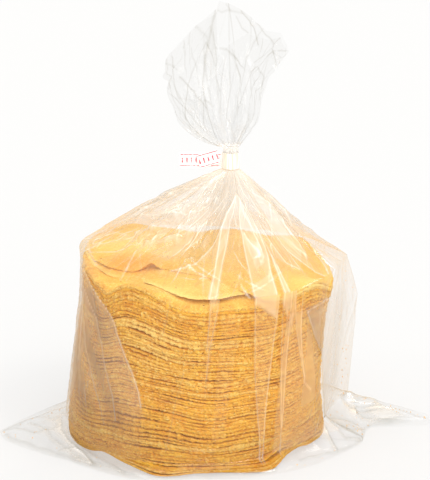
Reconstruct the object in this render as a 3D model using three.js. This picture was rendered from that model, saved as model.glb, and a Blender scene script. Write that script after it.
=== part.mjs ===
// A stack of six inch yellow corn tortillas in a clear bag, gathered at a neck and closed with tape.
// The bag stands on z = 0 with the axis of the stack's foot on the origin, and its front faces -Y.
// The bag is one closed solid in its filled outer form; the tape is two thin solids on its neck.
import * as THREE from 'three';

const { cos, sin, abs, max, min, PI, acos, asin, atan2, pow } = Math;
const degrees = PI / 180;

// Tortillas
const tortillaRadius = 74.5;
const tortillaPitch = 1.85;
const tortillaCount = 57;
const stackHeight = tortillaPitch * tortillaCount;
const stackLean = 8; // the top of the stack has slid this far to the right
const leftRise = 4; // the topmost tortillas are bent: up at the left and back, down at the right
const backRise = 1.5;
const saddle = 2.5; // and down at the front and back

// Bag film round the stack
const filmGap = 0.7;
const footSpread = 2; // extra radius at the foot, where the lowest tortillas are pressed out
const waist = 3.6; // how far the right side of the stack draws in at half height
const finAngle = 6 * degrees; // the side crease of the bag stands off the stack as a fin
const finReach = 14.5;
const ridgeCount = 15; // bands of layers that press through the film
const ridgeDepth = 1.1;

// Flat corners of the bag's bottom seal, which lie out on the table as two ears
const earEdge = 1.2; // thickness of the flattened film at the ears' edges
const rootHeights = { leftEar: 12, rightEar: 17.5, skirt: 6 }; // where they run into the sides
const footOutline = [ // direction in degrees, reach in millimetres
  [1, 104], [2.2, 138.5], [8, 140], [13, 126], [25, 103], [38, 87], [60, 81], [90, 80], [120, 80],
  [140, 82], [160, 92], [176, 106], [184.5, 115.5], [190, 113], [203, 99], [216, 89], [228, 86.5],
  [248, 88], [270, 81], [299, 85.5], [330, 92], [346, 99], [356, 99.5],
];

// Neck, and the shoulders that are gathered up to it
const neckCentre = new THREE.Vector2(20, 0);
const neckRadius = 4.2;
const neckBottom = 157;
const neckTop = 169;
const shoulderSwell = { left: 0.5, right: -4 }; // how far the film stands above a straight cone
const pleatCount = 20;
const pleatDepth = 3;

// Mouth of the bag, which flares above the neck. Each rib is a line of [x, y, z] up one side of it
const mouthRibs = {
  left: [[15.8, 0, 169], [5, 0, 172], [-7, 0, 180], [-15, 0, 194], [-18.5, 0, 207], [-18.5, 0, 219]],
  right: [[24.2, 0, 169], [28, 0, 174], [35, 0, 184], [37.5, 0, 198], [45, 0, 212], [53.5, 0, 223]],
  front: [[20, -4.2, 169], [20, -8, 174], [20, -15, 184], [19, -20, 198], [18, -23, 213], [17, -24, 228]],
  back: [[20, 4.2, 169], [20, 8, 174], [19, 15, 186], [18, 21, 206], [17, 23, 228], [16, 20, 247]],
};
const mouthLobes = 7;
const mouthLobeDepth = 0.13; // as a share of the radius
const mouthPeak = 98 * degrees; // direction of the highest corner of the mouth
const mouthNotch = 6; // depth of the notches between its corners
const mouthHollow = 3; // how far the middle of its filled top lies below the lip

// Sealing tape
const tapeWidth = 9;
const tapeThickness = 0.6;
const tapeTailLength = 24;
const tapeEndLength = 12;
const tapeEndTilt = 16 * degrees;
const clearance = 0.3;

// Steps of the mesh
const columns = 80;
const shoulderSteps = 9;
const mouthSteps = 11;

function smoothStep(low, high, value) {
  const share = min(max((value - low) / (high - low), 0), 1);
  return share * share * (3 - 2 * share);
}

// The signed turn from one direction to another, from -PI to PI
function turn(from, to) {
  return atan2(sin(to - from), cos(to - from));
}

function rimHeight(angle) {
  return stackHeight - leftRise * cos(angle) + backRise * sin(angle) + saddle * cos(2 * angle);
}

function leanAt(height) {
  return stackLean * min(height / stackHeight, 1);
}

// Radius of the stack with its film, without the fin
function stackRadius(angle, height) {
  const share = height / stackHeight;
  const foot = footSpread * (1 - smoothStep(0, 0.35, share));
  const drawnIn = waist * pow(max(0, cos(angle)), 2) * sin(PI * min(share, 1));
  const slips = 0.9 * sin(2 * angle + 5 * share) + 0.6 * sin(3 * angle - 7 * share);
  return tortillaRadius + filmGap + foot - drawnIn + slips;
}

// Around the fin the film runs straight from the stack to the crease, as tangents to a circle do
function filmRadius(angle, height) {
  const radius = stackRadius(angle, height);
  const reach = finReach * (1 - 0.66 * smoothStep(0.72, 1.05, height / stackHeight));
  const spread = acos(tortillaRadius / (tortillaRadius + reach));
  const offset = abs(turn(finAngle, angle));
  if (offset >= spread) return radius;
  return max(radius, tortillaRadius / cos(spread - offset));
}

// How closely the film clings to the edges of the tortillas
function cling(angle) {
  return smoothStep(25 * degrees, 50 * degrees, abs(turn(finAngle, angle)));
}

function footReach(angle) {
  const direction = ((angle / degrees) % 360 + 360) % 360;
  const first = footOutline[0];
  const closed = [...footOutline, [first[0] + 360, first[1]]];
  const at = direction < first[0] ? direction + 360 : direction;
  const next = closed.findIndex(([start]) => start > at);
  const [a, b] = [closed[next - 1], closed[next]];
  return THREE.MathUtils.lerp(a[1], b[1], (at - a[0]) / (b[0] - a[0]));
}

// Height up to which the film on the table still stands out from the stack
function skirtHeight(angle) {
  const { leftEar, rightEar, skirt } = rootHeights;
  const toRight = 1 - smoothStep(10 * degrees, 45 * degrees, abs(turn(8 * degrees, angle)));
  const toLeft = 1 - smoothStep(12 * degrees, 50 * degrees, abs(turn(186 * degrees, angle)));
  return skirt + max((rightEar - skirt) * toRight, (leftEar - skirt) * toLeft);
}

function bodyPoint(angle, height, inset = 0) {
  const hugging = filmRadius(angle, height) - inset;
  const spread = max(0, 1 - max(0, height - earEdge) / skirtHeight(angle));
  const reach = hugging + max(0, footReach(angle) - hugging) * spread;
  return new THREE.Vector3(leanAt(height) + reach * cos(angle), reach * sin(angle), height);
}

// The layers aren't level: they wave up and down round the stack
function layerWave(angle, share) {
  const slow = 1.6 * sin(2 * angle + 0.6 + 2 * share) + 1.1 * sin(3 * angle - 1.1 - 3 * share);
  const quick = 0.5 * sin(7 * angle + 6 * share);
  return (slow + quick) * sin(PI * share);
}

function footRows() {
  const heights = [0, earEdge, 3.5, 6.5, 10, 14.5, 19.5];
  return heights.map((height) => ring((angle) => bodyPoint(angle, height)));
}

function ridgeRows() {
  const rows = [];
  const steps = 2 * ridgeCount;
  const lowest = rootHeights.rightEar + 3;
  for (let step = 0; step < steps; step++) {
    const share = step / steps;
    rows.push(ring((angle) => {
      const height = THREE.MathUtils.lerp(lowest, rimHeight(angle) - 3, share);
      const strength = 0.7 + 0.3 * sin(5 * angle + 1.7 * step);
      const inset = step % 2 ? ridgeDepth * strength * cling(angle) : 0;
      return bodyPoint(angle, height + layerWave(angle, share), inset);
    }));
  }
  return rows;
}

// 1 on the sharp crest of a pleat and -1 in the round hollow beside it
function pleatShape(angle) {
  const drift = 0.1 * sin(2 * angle + 1) + 0.06 * sin(5 * angle);
  return 1 - 2 * abs(sin(pleatCount / 2 * (angle + drift)));
}

function neckPoint(angle, height, radius = neckRadius) {
  return new THREE.Vector3(
    neckCentre.x + radius * cos(angle), neckCentre.y + radius * sin(angle), height);
}

function shoulderPoint(angle, share) {
  const point = bodyPoint(angle, rimHeight(angle)).lerp(neckPoint(angle, neckBottom), share);
  const side = (1 - cos(angle)) / 2;
  const swell = THREE.MathUtils.lerp(shoulderSwell.right, shoulderSwell.left, side);
  point.z += swell * pow(sin(PI * share), 0.8);
  const fold = pleatDepth * pleatShape(angle) * pow(sin(PI * share), 0.7);
  const outward = new THREE.Vector3(0.5 * cos(angle), 0.5 * sin(angle), 0.85);
  return point.addScaledVector(outward, fold);
}

function shoulderRows() {
  const rows = [];
  for (let step = 0; step < shoulderSteps; step++) {
    const share = pow(step / shoulderSteps, 1.1);
    rows.push(ring((angle) => shoulderPoint(angle, share)));
  }
  return rows;
}

function neckRows() {
  return [neckBottom, (neckBottom + neckTop) / 2, neckTop].map(
    (height) => ring((angle) => neckPoint(angle, height)));
}

const ribCurves = Object.fromEntries(Object.entries(mouthRibs).map(
  ([side, points]) => [side, new THREE.CatmullRomCurve3(points.map((p) => new THREE.Vector3(...p)))]));

function mouthPoint(angle, share) {
  const [left, right, front, back] = ['left', 'right', 'front', 'back'].map(
    (side) => ribCurves[side].getPoint(share));
  const middle = (front.x + back.x) / 2;
  const across = cos(angle) > 0 ? right : left;
  const along = sin(angle) > 0 ? back : front;
  const hollow = abs(sin(mouthLobes / 2 * (angle - mouthPeak)));
  const radial = 1 - 2 * mouthLobeDepth * hollow * smoothStep(0, 0.15, share);
  const steepness = cos(angle) > 0 ? 1.5 : 1.3;
  const lift = pow(abs(sin(angle)), steepness);
  const z = THREE.MathUtils.lerp(across.z, along.z, lift) + mouthNotch * pow(share, 2) * (0.5 - hollow);
  const x = middle + abs(across.x - middle) * cos(angle) * radial;
  return new THREE.Vector3(x, abs(along.y) * sin(angle) * radial, z);
}

function mouthRows() {
  const rows = [];
  for (let step = 1; step <= mouthSteps; step++) {
    rows.push(ring((angle) => mouthPoint(angle, step / mouthSteps)));
  }
  return rows;
}

// One ring of points round the bag
function ring(pointAt) {
  return Array.from({ length: columns }, (_, column) => pointAt(columnAngle(column)));
}

// The columns are even but for four, which are drawn to the sharp corner of the right ear
function columnAngle(column) {
  const drawn = { 0: 1, 1: 2.2, 2: 8, 3: 13 };
  return (drawn[column] ?? column * 360 / columns) * degrees;
}

function middleOf(points) {
  const sum = points.reduce((total, point) => total.add(point), new THREE.Vector3());
  return sum.divideScalar(points.length);
}

// A closed body from rings of points, lowest first, with a fan over each end
function loft(rows, bottom, top) {
  const positions = [];
  const faces = [];
  for (const row of rows) {
    for (const point of row) positions.push(...point.toArray());
  }
  const last = rows.length - 1;
  const bottomIndex = positions.length / 3;
  positions.push(...bottom.toArray(), ...top.toArray());
  for (let column = 0; column < columns; column++) {
    const next = (column + 1) % columns;
    for (let row = 0; row < last; row++) {
      const [a, b] = [row * columns + column, row * columns + next];
      const [c, d] = [a + columns, b + columns];
      faces.push(a, b, d, a, d, c);
    }
    faces.push(bottomIndex, next, column);
    faces.push(bottomIndex + 1, last * columns + column, last * columns + next);
  }
  const geometry = new THREE.BufferGeometry();
  geometry.setAttribute('position', new THREE.Float32BufferAttribute(positions, 3));
  geometry.setIndex(faces);
  geometry.computeVertexNormals();
  return geometry;
}

function makeBag() {
  const rows = [...footRows(), ...ridgeRows(), ...shoulderRows(), ...neckRows(), ...mouthRows()];
  const top = middleOf(rows.at(-1));
  top.z -= mouthHollow;
  const geometry = loft(rows, new THREE.Vector3(0, 0, 0), top);
  const material = new THREE.MeshStandardMaterial({ color: '#e9bd68', roughness: 0.4, metalness: 0 });
  const bag = new THREE.Mesh(geometry, material);
  bag.name = 'bag';
  return bag;
}

const tapeMaterial = new THREE.MeshStandardMaterial({ color: '#f4eeee', roughness: 0.35, metalness: 0 });

// The tape goes once round the neck, and its two ends are stuck together into a flag
function makeTapeBand() {
  const inner = neckRadius + clearance;
  const outer = inner + tapeThickness;
  const leave = asin(tapeThickness / 2 / outer);
  const outline = new THREE.Shape();
  outline.absarc(0, 0, outer, PI + leave, PI - leave + 2 * PI, false);
  outline.lineTo(-outer - tapeTailLength, tapeThickness / 2);
  outline.lineTo(-outer - tapeTailLength, -tapeThickness / 2);
  outline.closePath();
  const hole = new THREE.Path();
  hole.absarc(0, 0, inner, 0, 2 * PI, true);
  outline.holes.push(hole);
  const shape = { depth: tapeWidth, bevelEnabled: false, curveSegments: 16, steps: 1 };
  const band = new THREE.Mesh(new THREE.ExtrudeGeometry(outline, shape), tapeMaterial);
  band.name = 'tape_band';
  band.position.set(neckCentre.x, neckCentre.y, neckBottom + clearance);
  return band;
}

// The tape's outer end, which was pressed on askew in front of the flag
function makeTapeEnd() {
  const geometry = new THREE.BoxGeometry(tapeEndLength, tapeThickness, tapeWidth * 0.9, 6, 1, 3);
  const end = new THREE.Mesh(geometry, tapeMaterial);
  end.name = 'tape_end';
  const besideNeck = neckCentre.x - neckRadius - tapeEndLength / 2 - 2.5;
  const height = neckBottom + clearance + tapeWidth / 2 + 0.8;
  end.position.set(besideNeck, neckCentre.y - tapeThickness - clearance, height);
  end.rotation.y = -tapeEndTilt;
  return end;
}

const model = new THREE.Group();
model.add(makeBag(), makeTapeBand(), makeTapeEnd());

export default model;
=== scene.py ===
import bpy
import math
import numpy as np
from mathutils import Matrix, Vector


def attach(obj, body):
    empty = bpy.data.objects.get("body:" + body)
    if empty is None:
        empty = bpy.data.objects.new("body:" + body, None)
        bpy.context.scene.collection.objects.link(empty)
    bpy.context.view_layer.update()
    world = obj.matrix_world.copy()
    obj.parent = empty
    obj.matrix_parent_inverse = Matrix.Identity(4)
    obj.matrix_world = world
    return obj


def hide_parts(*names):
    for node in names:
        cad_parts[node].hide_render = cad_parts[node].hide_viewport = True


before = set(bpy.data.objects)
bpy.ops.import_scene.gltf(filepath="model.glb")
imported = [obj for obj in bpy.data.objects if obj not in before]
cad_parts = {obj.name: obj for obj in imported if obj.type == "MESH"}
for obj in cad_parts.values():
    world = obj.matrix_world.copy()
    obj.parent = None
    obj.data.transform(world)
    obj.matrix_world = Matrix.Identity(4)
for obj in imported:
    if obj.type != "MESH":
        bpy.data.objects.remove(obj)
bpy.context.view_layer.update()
print("frame loaded")

mm = 0.001
tau = 2 * math.pi
perRadian = 57.3             # degrees
farAway = 1e9                # millimetres


# Small helpers

def smoothStep(low, high, value):
    share = np.clip((value - low) / (high - low), 0, 1)
    return share * share * (3 - 2 * share)


def hump(value, wide):
    return np.exp(-(value / wide) ** 2)


def hills(x, y, table):
    # round hills, given as [height, x, y, wide along x, wide along y]
    return sum(height * np.exp(-((x - atX) / wideX) ** 2 - ((y - atY) / wideY) ** 2)
               for height, atX, atY, wideX, wideY in table)


def turn(fromAngle, toAngle):
    return np.arctan2(np.sin(toAngle - fromAngle), np.cos(toAngle - fromAngle))


def degreesPast(direction, angle):
    return np.degrees(turn(math.radians(direction), angle))


def roundTable(table, angle):
    # a smooth closed curve through [degrees, value] pairs, read at any angle
    degrees, values = np.transpose(table)
    degrees = np.concatenate([degrees[-2:] - 360, degrees, degrees[:2] + 360])
    values = np.concatenate([values[-2:], values, values[:2]])
    slopes = np.gradient(values, degrees)
    at = np.degrees(angle) % 360
    index = np.clip(np.searchsorted(degrees, at) - 1, 0, len(degrees) - 2)
    step = degrees[index + 1] - degrees[index]
    t = np.clip((at - degrees[index]) / step, 0, 1)
    a, b = values[index], values[index + 1]
    slopeA, slopeB = slopes[index] * step, slopes[index + 1] * step
    return ((2 * t**3 - 3 * t**2 + 1) * a + (t**3 - 2 * t**2 + t) * slopeA
            + (3 * t**2 - 2 * t**3) * b + (t**3 - t**2) * slopeB)


def lineTable(table, at):
    # straight lines through [position, value] pairs
    return np.interp(at, *np.transpose(table))


def ripple(seed, angle, along, count, low, high, rise=0.0):
    # smooth noise in -1..1 that closes on itself round the stack
    rng = np.random.default_rng(seed)
    total = np.zeros(np.broadcast(angle, along).shape)
    weight = 0
    for _ in range(count):
        turns = int(rng.integers(low, high + 1))
        size = 1 / turns ** rise
        total = total + size * np.sin(turns * angle + rng.uniform(0, tau)
                                      + along * rng.uniform(-1, 1) * turns)
        weight += size * size
    return total / math.sqrt(weight / 2) * 0.5


def facetWave(seed, angle, drift, knots):
    # a closed zigzag with flat facets of uneven width, crests out and hollows in
    rng = np.random.default_rng(seed)
    gaps = rng.uniform(0.45, 1.55, knots * 2)
    at = np.concatenate([[0], np.cumsum(gaps)])
    values = [(1 if knot % 2 else -1) * rng.uniform(0.45, 1.0) for knot in range(knots * 2)]
    return np.interp((angle + drift) % tau, at / at[-1] * tau, values + values[:1])


def tents(seed, x, y, creases):
    # creases as low straight tents on a plane: sharp on top, flat on both flanks; six in ten stand up and
    # the others are hollows, and wrap is how far it is once round
    rng = np.random.default_rng(seed)
    total = np.zeros(x.shape)
    wrap = creases["wrap"]
    for _ in range(creases["count"]):
        middleX = rng.uniform(*creases["x"])
        middleY = rng.uniform(*creases["y"])
        tilt = creases["tilt"] + rng.normal() * creases["spread"]
        length = rng.uniform(*creases["length"])
        width = rng.uniform(*creases["width"])
        height = rng.uniform(*creases["height"]) * (1 if rng.random() < 0.6 else -0.8)
        dx = (x - middleX + wrap / 2) % wrap - wrap / 2
        dy = y - middleY
        along = dx * math.cos(tilt) + dy * math.sin(tilt)
        across = np.abs(dy * math.cos(tilt) - dx * math.sin(tilt))
        taper = np.clip(1 - (along / length) ** 2, 0, 1)
        total += height * taper * np.clip(1 - across / (width * (0.35 + 0.65 * taper)), 0, 1)
    return total


def scaled(points, perX, perY):
    # from directions and shares to the units of the unrolled sheet
    return [(x * perX, y * perY) for x, y in points]


def foldLine(x, y, points):
    # how far each point of an unrolled sheet lies from a broken line on it, and on which side
    distance = np.full(x.shape, farAway)
    side = np.zeros(x.shape)
    for (x0, y0), (x1, y1) in zip(points[:-1], points[1:]):
        dx, dy = x1 - x0, y1 - y0
        along = np.clip(((x - x0) * dx + (y - y0) * dy) / (dx * dx + dy * dy), 0, 1)
        away = np.hypot(x - x0 - along * dx, y - y0 - along * dy)
        side = np.where(away < distance, np.sign((x - x0) * dy - (y - y0) * dx), side)
        distance = np.minimum(distance, away)
    return distance, side


def insideShape(x, y, points, soft):
    # 1 inside a convex shape given counterclockwise, fading to 0 over its edge
    deepest = np.full(np.broadcast(x, y).shape, farAway)
    for (x0, y0), (x1, y1) in zip(points, points[1:] + points[:1]):
        length = math.hypot(x1 - x0, y1 - y0)
        deepest = np.minimum(deepest, ((x1 - x0) * (y - y0) - (y1 - y0) * (x - x0)) / length)
    return smoothStep(-soft, soft, deepest)


def darts(seed, degrees, share, perMm, look):
    # film folded over on itself in long triangles that widen as share grows to 1, with a light line
    # along both of their folds; perMm is how many degrees one millimetre takes up there
    rng = np.random.default_rng(seed)
    layers = np.zeros(np.broadcast(degrees, share).shape)
    lines = np.zeros(layers.shape)
    for _ in range(look["count"]):
        middle = rng.uniform(0, 360) + rng.normal() * look["lean"] * (1 - share)
        start = rng.uniform(*look["start"])
        opening = np.clip((share - start) / (1 - start), 0, 1) ** look["flare"]
        half = rng.uniform(*look["half"]) * opening
        strength = rng.uniform(0.3, 1.0)
        off = np.abs((degrees - middle + 180) % 360 - 180)
        opened = np.clip(half / (0.6 * perMm), 0, 1)
        layers += strength * opened * smoothStep(-0.35, 0.35, (half - off) / perMm)
        lines += strength * opened * hump(off - half, look["line"] * perMm)
    return layers, np.clip(lines, 0, 1)


def linearColour(hexText):
    parts = [int(hexText[i:i + 2], 16) / 255 for i in (1, 3, 5)]
    return (*[p / 12.92 if p <= 0.04045 else ((p + 0.055) / 1.055) ** 2.4 for p in parts], 1.0)


# the output that a node stands for, where it isn't the first one
usualOutput = {"ShaderNodeAttribute": "Fac", "ShaderNodeLayerWeight": "Facing", "ShaderNodeMix": 2,
               "ShaderNodeTexCoord": "Object"}


def addNode(tree, kind, inputs=None, **settings):
    # one node with its settings, its values and its links; a text such as "#ff0000" is a colour
    known = kind.startswith(("Geometry", "Function", "NodeGroup"))
    node = tree.nodes.new(kind if known else "ShaderNode" + kind)
    node.location = len(tree.nodes) * 180, 0
    for name, value in settings.items():
        setattr(node, name, value)
    for name, value in (inputs or {}).items():
        if isinstance(value, bpy.types.Node):
            value = value.outputs[usualOutput.get(value.bl_idname, 0)]
        if isinstance(value, bpy.types.NodeSocket):
            tree.links.new(value, node.inputs[name])
        else:
            node.inputs[name].default_value = linearColour(value) if str(value)[0] == "#" else value
    return node


def newMaterial(name):
    material = bpy.data.materials.new(name)
    material.use_nodes = True
    material.node_tree.nodes.clear()
    return material, material.node_tree


def newTree(name, sockets):
    # a Geometry Nodes tree with its named inputs
    tree = bpy.data.node_groups.new(name, "GeometryNodeTree")
    for key, kind in sockets.items():
        tree.interface.new_socket(key, in_out="INPUT", socket_type="NodeSocket" + kind)
    tree.interface.new_socket("Geometry", in_out="OUTPUT", socket_type="NodeSocketGeometry")
    return tree, addNode(tree, "NodeGroupInput").outputs


def endTree(tree, instances, material):
    real = addNode(tree, "GeometryNodeRealizeInstances", {"Geometry": instances})
    covered = addNode(tree, "GeometryNodeSetMaterial", {"Geometry": real, "Material": material})
    addNode(tree, "NodeGroupOutput", {0: covered})
    return tree


def bakeNodes(source, tree, values, name):
    # runs one tree on a copy of a mesh and gives the result back as a plain mesh
    holder = bpy.data.objects.new(name, source.data.copy())
    bpy.context.collection.objects.link(holder)
    modifier = holder.modifiers.new("nodes", "NODES")
    modifier.node_group = tree
    sockets = {item.name: item.identifier for item in tree.interface.items_tree
               if item.item_type == "SOCKET" and item.in_out == "INPUT"}
    for key, value in values.items():
        modifier[sockets[key]] = value
    evaluated = holder.evaluated_get(bpy.context.evaluated_depsgraph_get())
    mesh = bpy.data.meshes.new_from_object(evaluated)
    holder.modifiers.clear()
    holder.data = mesh
    mesh.name = name
    return holder


def readPoints(mesh):
    flat = np.empty(len(mesh.vertices) * 3, np.float32)
    mesh.vertices.foreach_get("co", flat)
    return flat.reshape(-1, 3)


def storeValues(mesh, attributes):
    # one value for each point; the middle of a cap, which comes after the others, gets the first one
    for key, values in attributes.items():
        full = np.full(len(mesh.vertices), values.flat[0], np.float32)
        full[:values.size] = values.reshape(-1)
        mesh.attributes.new(key, "FLOAT", "POINT").data.foreach_set("value", full)
    mesh.polygons.foreach_set("use_smooth", [True] * len(mesh.polygons))
    mesh.update()


def gridMesh(name, points, bottom=None, top=None, **attributes):
    # points[row, column] in millimetres, closed round its columns; bottom and top are the middles of caps
    index = np.arange(points.shape[0] * points.shape[1]).reshape(points.shape[:2])
    after = np.roll(index, -1, axis=1)
    faces = np.stack([index[:-1], after[:-1], after[1:], index[1:]], axis=-1).reshape(-1, 4).tolist()
    vertices = (points.reshape(-1, 3) * mm).tolist()
    for middle, first, second in ((bottom, after[0], index[0]), (top, index[-1], after[-1])):
        if middle is not None:
            faces += [[len(vertices), *pair] for pair in zip(first.tolist(), second.tolist())]
            vertices.append([value * mm for value in middle])
    mesh = bpy.data.meshes.new(name)
    mesh.from_pydata(vertices, [], faces)
    storeValues(mesh, attributes)
    piece = bpy.data.objects.new(name, mesh)
    bpy.context.collection.objects.link(piece)
    return piece


def ring(centreX, radius, angle, height):
    # points round a circle beside the axis, in millimetres
    x, y = centreX + radius * np.cos(angle), radius * np.sin(angle)
    return np.stack(np.broadcast_arrays(x, y, height), axis=-1)


def giveMaterial(piece, material, creaseDegrees=None):
    piece.data.materials.clear()
    piece.data.materials.append(material)
    if creaseDegrees:
        piece.data.set_sharp_from_angle(angle=math.radians(creaseDegrees))


# Form of the bag
# The same named sizes as in the part's source, in millimetres

bag = {
    "tortillaRadius": 74.5,
    "tortillaPitch": 1.85,
    "tortillaCount": 57,
    "stackLean": 8,
    "leftRise": 4,
    "backRise": 1.5,
    "saddle": 2.5,
    "filmGap": 0.7,
    "footSpread": 2,
    "waist": 3.6,
    "finAngle": math.radians(6),
    "finReach": 14.5,
    "earEdge": 1.2,
    "leftEar": 12,
    "rightEar": 17.5,
    "skirt": 6,
    "footOutline": [
        [1, 104], [2.2, 138.5], [8, 140], [13, 126], [25, 103], [38, 87], [60, 81], [90, 80],
        [120, 80], [140, 82], [160, 92], [176, 106], [184.5, 115.5], [190, 113], [203, 99],
        [216, 89], [228, 86.5], [248, 88], [270, 81], [299, 85.5], [330, 92], [346, 99],
        [356, 99.5]],
    "neckX": 20,
    "neckRadius": 4.2,
    "neckBottom": 157,
    "neckTop": 169,
    "swellLeft": 0.5,
    "swellRight": -4,
}
stackHeight = bag["tortillaPitch"] * bag["tortillaCount"]


def rimHeight(angle):
    return (stackHeight - bag["leftRise"] * np.cos(angle) + bag["backRise"] * np.sin(angle)
            + bag["saddle"] * np.cos(2 * angle))


def leanAt(height):
    return bag["stackLean"] * np.minimum(height / stackHeight, 1)


def stackRadius(angle, height):
    share = height / stackHeight
    foot = bag["footSpread"] * (1 - smoothStep(0, 0.35, share))
    drawnIn = bag["waist"] * np.maximum(0, np.cos(angle)) ** 2 * np.sin(math.pi * np.minimum(share, 1))
    slips = 0.9 * np.sin(2 * angle + 5 * share) + 0.6 * np.sin(3 * angle - 7 * share)
    return bag["tortillaRadius"] + bag["filmGap"] + foot - drawnIn + slips


def filmRadius(angle, height):
    radius = stackRadius(angle, height)
    reach = bag["finReach"] * (1 - 0.66 * smoothStep(0.72, 1.05, height / stackHeight))
    spread = np.arccos(bag["tortillaRadius"] / (bag["tortillaRadius"] + reach))
    offset = np.abs(turn(bag["finAngle"], angle))
    standsOff = np.maximum(radius, bag["tortillaRadius"] / np.cos(np.maximum(spread - offset, 0)))
    return np.where(offset >= spread, radius, standsOff)


def footReach(angle):
    return np.interp(np.degrees(angle) % 360, *np.transpose(bag["footOutline"]), period=360)


def skirtHeight(angle):
    toRight = 1 - smoothStep(10, 45, np.abs(degreesPast(8, angle)))
    toLeft = 1 - smoothStep(12, 50, np.abs(degreesPast(186, angle)))
    return bag["skirt"] + np.maximum((bag["rightEar"] - bag["skirt"]) * toRight,
                                     (bag["leftEar"] - bag["skirt"]) * toLeft)


# Materials

filmLook = {
    "clear": "#fefefe",      # colour of what is seen through one layer
    "edgeTint": "#e0dcd4",   # and through film that is met at a glancing angle
    "loose": "#bab5a6",      # painted shade: grey for several layers that stand off, and for the dim side of the room reflected in them
    "haze": "#e0d8cc",
    "bunched": "#ffffff",
    "warm": "#fddb96",       # haze that is lit by the maize close behind it
    "sheen": "#ffffff",
    "hazeFace": 0.016,       # share of milk met face on, at a glancing angle, and where it is bunched
    "hazeEdge": 0.62,
    "hazeGathered": 1.0,
    "mirrorFace": 0.032,     # share of sheen met face on, and at a glancing angle
    "mirrorEdge": 0.5,
    "milkySheen": 0.45,      # share of the sheen that milky film scatters
    "gloss": 0.1,
    "through": 0.4,          # share of the light that the milk lets through
    "crinkle": 1.7,          # millimetres between the finest crinkles
    "crinkleDepth": 0.5,
}


def polytheneFilm():
    # Blown polythene film, 40 micrometres thick. It is nearly clear face on; at a glancing angle and
    # where it lies in many folds it turns milky, and its fold edges catch the softbox as fine lines.
    material, tree = newMaterial("polythene film")
    crinkles = addNode(tree, "TexNoise", {"Vector": addNode(tree, "TexCoord"), "Detail": 3.0,
                                          "Scale": 1 / (filmLook["crinkle"] * 4 * mm),
                                          "Roughness": 0.55, "Distortion": 0.6})
    bump = addNode(tree, "Bump", {"Height": crinkles, "Strength": 0.35,
                                  "Distance": filmLook["crinkleDepth"] * mm})
    facing = addNode(tree, "LayerWeight", {"Blend": 0.5, "Normal": bump})
    gathered, veil, warmth = (addNode(tree, "Attribute", attribute_name=name)
                              for name in ("gathered", "veil", "warmth"))

    # gathered is above 0 where the film is bunched, and -1 where it is stuck flat to the table
    made = {"facing": facing, "gathered": gathered}
    for name, operation, *terms in (("loose", "ADD", "gathered", 1.0),
                                    ("free", "MULTIPLY", "facing", "loose"),
                                    ("glance", "POWER", "free", 4.0),
                                    ("scattered", "MULTIPLY_ADD", "gathered", -filmLook["milkySheen"], 1.0),
                                    ("sheen", "MULTIPLY", "free", "scattered"),
                                    ("shine", "POWER", "sheen", 5.5)):
        made[name] = addNode(tree, "Math", {at: made.get(term, term) for at, term in enumerate(terms)},
                             operation=operation, use_clamp=name in ("loose", "scattered"))
    hazeAmount = addNode(tree, "MapRange", {"Value": made["glance"], "To Min": filmLook["hazeFace"],
                                            "To Max": filmLook["hazeEdge"]})
    withFolds = addNode(tree, "Math", {0: gathered, 1: filmLook["hazeGathered"], 2: hazeAmount},
                        operation="MULTIPLY_ADD", use_clamp=True)
    mirror = addNode(tree, "MapRange", {"Value": made["shine"], "To Min": filmLook["mirrorFace"],
                                        "To Max": filmLook["mirrorEdge"]})

    mixes = {}
    # veil lays painted shade on the film: it greys what is seen through it
    for name, amount, first, second in (("tint", made["glance"], "clear", "edgeTint"),
                                        ("veiled", veil, "tint", "loose"),
                                        ("whitened", gathered, "haze", "bunched"),
                                        ("glowing", warmth, "whitened", "warm")):
        mixes[name] = addNode(tree, "Mix", {"Factor": amount, 6: mixes.get(first) or filmLook[first],
                                            7: filmLook[second]}, data_type="RGBA")
    clear = addNode(tree, "BsdfTransparent", {"Color": mixes["veiled"]})
    milk, through = (addNode(tree, kind, {"Color": mixes["glowing"], "Normal": bump})
                     for kind in ("BsdfDiffuse", "BsdfTranslucent"))
    bothSides = addNode(tree, "MixShader", {0: filmLook["through"], 1: milk, 2: through})
    gloss = addNode(tree, "BsdfGlossy", {"Color": filmLook["sheen"], "Roughness": filmLook["gloss"],
                                         "Normal": bump})
    body = addNode(tree, "MixShader", {0: withFolds, 1: clear, 2: bothSides})
    film = addNode(tree, "MixShader", {0: mirror, 1: body, 2: gloss})
    addNode(tree, "OutputMaterial", {"Surface": film})
    return material


tortillaLook = {
    "crumb": "#f3bd40",      # baked yellow maize
    "darker": "#e9a432",
    "pale": "#fadb82",       # dry rims and flour; the top faces paler, with painted highlights
    "rust": "#b0641a",       # darker orange streaks along the rims, between the layers
    "pit": "#8f5014",        # painted shade of holes and cracks in the rims
    "deep": "#c8760f",       # painted shade and warm glow inside the gaps, where the light has crossed the crumb a few times
    "speck": "#8a5018",      # bran and toasted spots
    "dusk": "#c6bfb6",       # towards the table, where less light comes in
    "toast": "#e8963a",      # toasted patches, and painted orange shade in a hollow of the top faces and under slid-back rims
    "grainDepth": 0.85,      # millimetres
    "speckCells": 3.15,      # millimetres from one bran speck to the next
    # patterns: millimetres, detail, roughness, how much flatter than wide, and the noise where each sets
    # in and where it is full
    "mottle": [9, 4.0, 0.6, 1, 0.32, 0.7],
    "grain": [1.44, 5.0, 0.7, 1.9, 0.53, 0.66],
    "pits": [1.3, 2.0, 0.6, 1.9, 0.6, 0.7],
    "streaks": [4.2, 3.0, 0.7, 7, 0.53, 0.63],
    "patches": [16, 2.0, 0.5, 2.6, 0.4, 0.66],
}


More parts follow.
